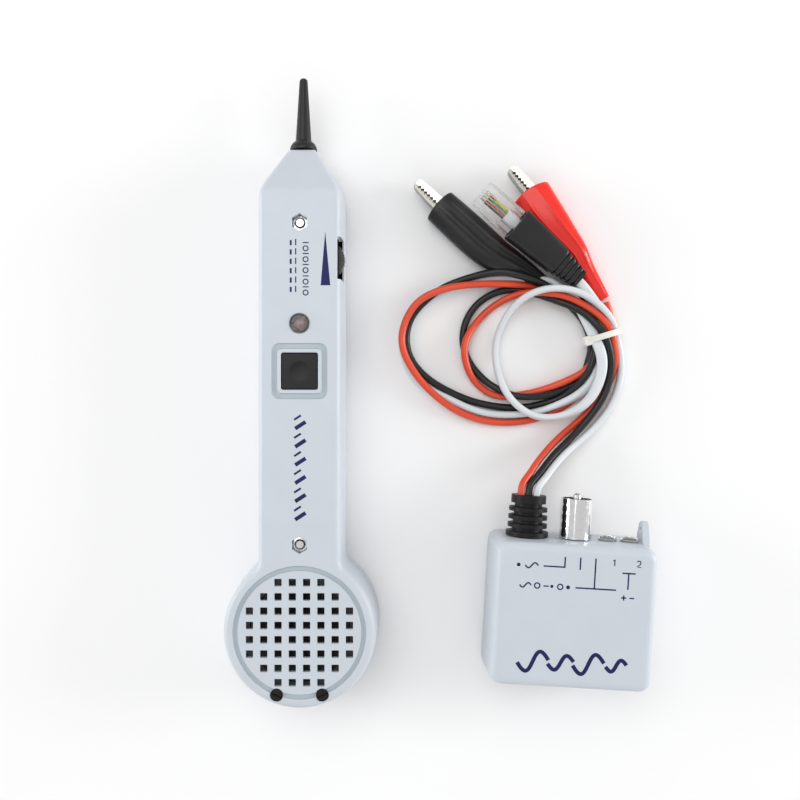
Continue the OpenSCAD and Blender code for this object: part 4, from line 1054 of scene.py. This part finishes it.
def plug_boot_piece():
    """Boot of the plug: a ribbed tail that grows into a smooth body with a socket."""
    stations = [(0.0, 3.0, 2.6), (0.25, 3.7, 3.1)]
    for i in range(5):
        x, w, h = i * 2.3, 3.95 + i * 0.33, 3.3 + i * 0.22
        stations += [(x + 0.35, w, h), (x + 1.3, w, h), (x + 1.5, w - 0.15, h - 0.15),
                     (x + 1.6, w - 0.75, h - 0.6), (x + 2.1, w - 0.7, h - 0.55),
                     (x + 2.2, w + 0.1, h + 0.05)]
    stations = [s for s in stations if s[0] < 11.4]
    stations += [(11.8, 5.7, 4.3), (12.4, 5.85, 4.45), (20, 6.3, 4.5), (28, 6.75, 4.5),
                 (34.0, 7.1, 4.5), (34.5, 6.95, 4.4), (34.7, 6.6, 4.1), (34.7, 5.6, 3.4),
                 (33.0, 5.55, 3.35)]
    _, c, s = squarish(40, 0.42)
    rings = [np.column_stack([np.full(40, x), w * c, h * s]) for x, w, h in stations]
    piece("plug_boot_skin", [place(skin(rings), PLUG)], BLACK_VINYL, "generator",
          slot="black_vinyl", replaces=["plug_boot"], angle=40)


plug_boot_piece()

jacket = section([(x, 0, 0.6) for x in np.linspace(31.5, 40.5, 8)], 2.3, 1.35, n=24, power=2.7)
piece("cord_in_plug", [place(skin(list(jacket)), PLUG)], CORD_GREY, "generator",
      slot="grey_jacket", angle=60)

# ---------------------------------------------------------------- cable tie


def tie_piece():
    """Nylon tie drawn round the settled leads, with its ratchet head."""
    middle = np.array([121.8, 115.6])
    along = np.array([-0.292, 0.956])
    across = np.array([0.956, 0.292])
    hull = []
    for lead in (RED_LEAD, BLACK_LEAD, LINE_CORD):
        side, top = lead.axes()
        off = (lead.line[:, :2] - middle) @ along
        at = np.nonzero(np.abs(off) < 1.6)[0]
        for i in at:
            u = (lead.line[i, :2] - middle) @ across
            if abs(u) > 9:
                continue
            for q in np.arange(24) * pi / 12:
                p = (side[i] * lead.half_w * cos(q) + top[i] * lead.half_h * sin(q)
                     + lead.line[i])
                hull.append(((p[:2] - middle) @ across, p[2]))
    hull = np.array(hull)
    centre = (hull.min(0) + hull.max(0)) / 2
    a = np.arange(56) * 2 * pi / 56
    way = np.stack([np.cos(a), np.sin(a)], 1)
    reach_out = ((hull - centre) @ way.T).max(0)
    # Outline of the pulled band: the smallest convex curve round the leads.
    edge = np.array([min(reach_out[k] / max(cos(a[k] - q), 1e-6)
                         for k in range(56) if cos(a[k] - q) > 0.3) for q in a])
    edge = (np.roll(edge, 1) + 2 * edge + np.roll(edge, -1)) / 4 + 0.12
    rings = []
    for b, t in ((-1.25, 0.15), (-1.25, 0.95), (-1.05, 1.1), (1.05, 1.1), (1.25, 0.95),
                 (1.25, 0.15)):
        uz = centre + way * (edge + t)[:, None]
        rings.append(np.column_stack([middle + uz[:, :1] * across + b * along,
                                      np.maximum(uz[:, 1], 0.05)]))
    parts = [skin(rings, loop=True)]
    head = axes([*(middle + across * (centre[0] - edge[28] - 0.4)), centre[1] + 2.2], [*along, 0])
    parts.append(place(pad([(3.6, 3.4, 0.6, -2.0), (4.0, 3.8, 0.8, -1.6), (4.0, 3.8, 0.8, 1.8),
                            (3.5, 3.3, 0.7, 2.2)], 4), head))
    piece("tie_band", parts, NYLON, "generator", slot="nylon", replaces=["cable_tie"], angle=35)


tie_piece()

# ---------------------------------------------------------------- CAD nodes that stay


def striped(name, origin, direction, colours, pitch):
    """Insulation whose colour goes by the place across a row of wires."""
    mat, tree, shader = blank(name)
    coord = tree.nodes.new("ShaderNodeTexCoord")
    dot = tree.nodes.new("ShaderNodeVectorMath")
    dot.operation = "DOT_PRODUCT"
    dot.inputs[1].default_value = direction
    tree.links.new(coord.outputs["Object"], dot.inputs[0])
    scale = tree.nodes.new("ShaderNodeMapRange")
    middle = float(np.dot(origin, direction)) * MM
    span = pitch * len(colours) / 2 * MM
    scale.inputs["From Min"].default_value = middle - span
    scale.inputs["From Max"].default_value = middle + span
    tree.links.new(dot.outputs["Value"], scale.inputs["Value"])
    stops = [(k / len(colours), colour) for k, colour in enumerate(colours)]
    bands = ramp(tree, scale.outputs["Result"], stops, "CONSTANT")
    tree.links.new(bands, shader.inputs["Base Color"])
    shader.inputs["Roughness"].default_value = 0.4
    bump(tree, shader, noise(tree, 1200.0, 2.0), 0.15)
    return mat


WIRE_ROW = striped("conductor_row", PLUG[:3, 3], tuple(PLUG[:3, 1]),
                   [(0.80, 0.55, 0.03), (0.02, 0.35, 0.06), (0.65, 0.04, 0.02),
                    (0.02, 0.02, 0.02)], 1.2)

LOOKS = {
    TIP: ["probe_tip"],
    WHEEL: ["volume_wheel"],
    BLACK: ["volume_pot", "button_switch", "power_button", "headset_terminals"],
    RUBBER: ["strain_relief", "probe_battery_snap", "generator_battery_snap"],
    BRASS: ["tip_contact", "terminal_inserts", "plug_contacts"],
    BOARD: ["probe_circuit_board", "generator_circuit_board"],
    RED_LAMP: ["led_lamp"],
    LENS: ["led_lens", "line_1_led", "line_2_led"],
    SPEAKER_SHADE_STEEL: ["speaker_basket", "speaker_magnet"],
    STEEL: ["red_clip_spring", "black_clip_spring", "toggle_lever"],
    CONE: ["speaker_cone"],
    WRAP: ["probe_battery", "generator_battery"],
    CHROME: ["probe_case_bolts", "toggle_nut", "toggle_guard",
             "generator_case_screw", "red_clip_rivet", "black_clip_rivet"],
    SWITCH: ["toggle_switch_body"],
    CLEAR: ["modular_plug", "plug_latch"],
    WIRE_ROW: ["plug_conductors"],
}
BEVEL = {
    "probe_tip": 0.15, "volume_wheel": 0.12, "power_button": 0.5, "headset_terminals": 0.25,
    "strain_relief": 0.3, "probe_case_bolts": 0.2, "toggle_nut": 0.2,
    "toggle_guard": 0.12, "modular_plug": 0.35, "plug_latch": 0.15, "led_lens": 0.1,
    "red_clip_rivet": 0.12, "black_clip_rivet": 0.12,
    "generator_case_screw": 0.15,
}
for look, nodes in LOOKS.items():
    for node in nodes:
        obj = frame["nodes"][node]
        obj.data.materials.clear()
        obj.data.materials.append(look)
        if node in BEVEL:
            edge = obj.modifiers.new("edge", "BEVEL")
            edge.width = BEVEL[node] * MM
            edge.segments = 3
            edge.limit_method = "ANGLE"
            edge.angle_limit = radians(35)
            edge.harden_normals = True

# ---------------------------------------------------------------- lead lengths and end pieces, worked out and not used

RED_ENDS = ["red_boot_skin", "red_jaw_fixed", "red_jaw_moving", "red_clip_spring",
            "red_clip_rivet", "tie_band"]
BLACK_ENDS = ["black_boot_skin", "black_jaw_fixed", "black_jaw_moving",
              "black_clip_spring", "black_clip_rivet"]
PLUG_ENDS = ["plug_boot_skin", "modular_plug", "plug_latch", "plug_contacts", "plug_conductors",
             "cord_in_plug"]
for obj, lead, width, far_end, ends in (
    (red_skin, RED_LEAD, LEAD_D, "tool", RED_ENDS),
    (black_skin, BLACK_LEAD, LEAD_D, "tool", BLACK_ENDS),
    (cord_skin, LINE_CORD, CORD_W, "plug", PLUG_ENDS),
):
    round(lead.length(), 3)
    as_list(ends)
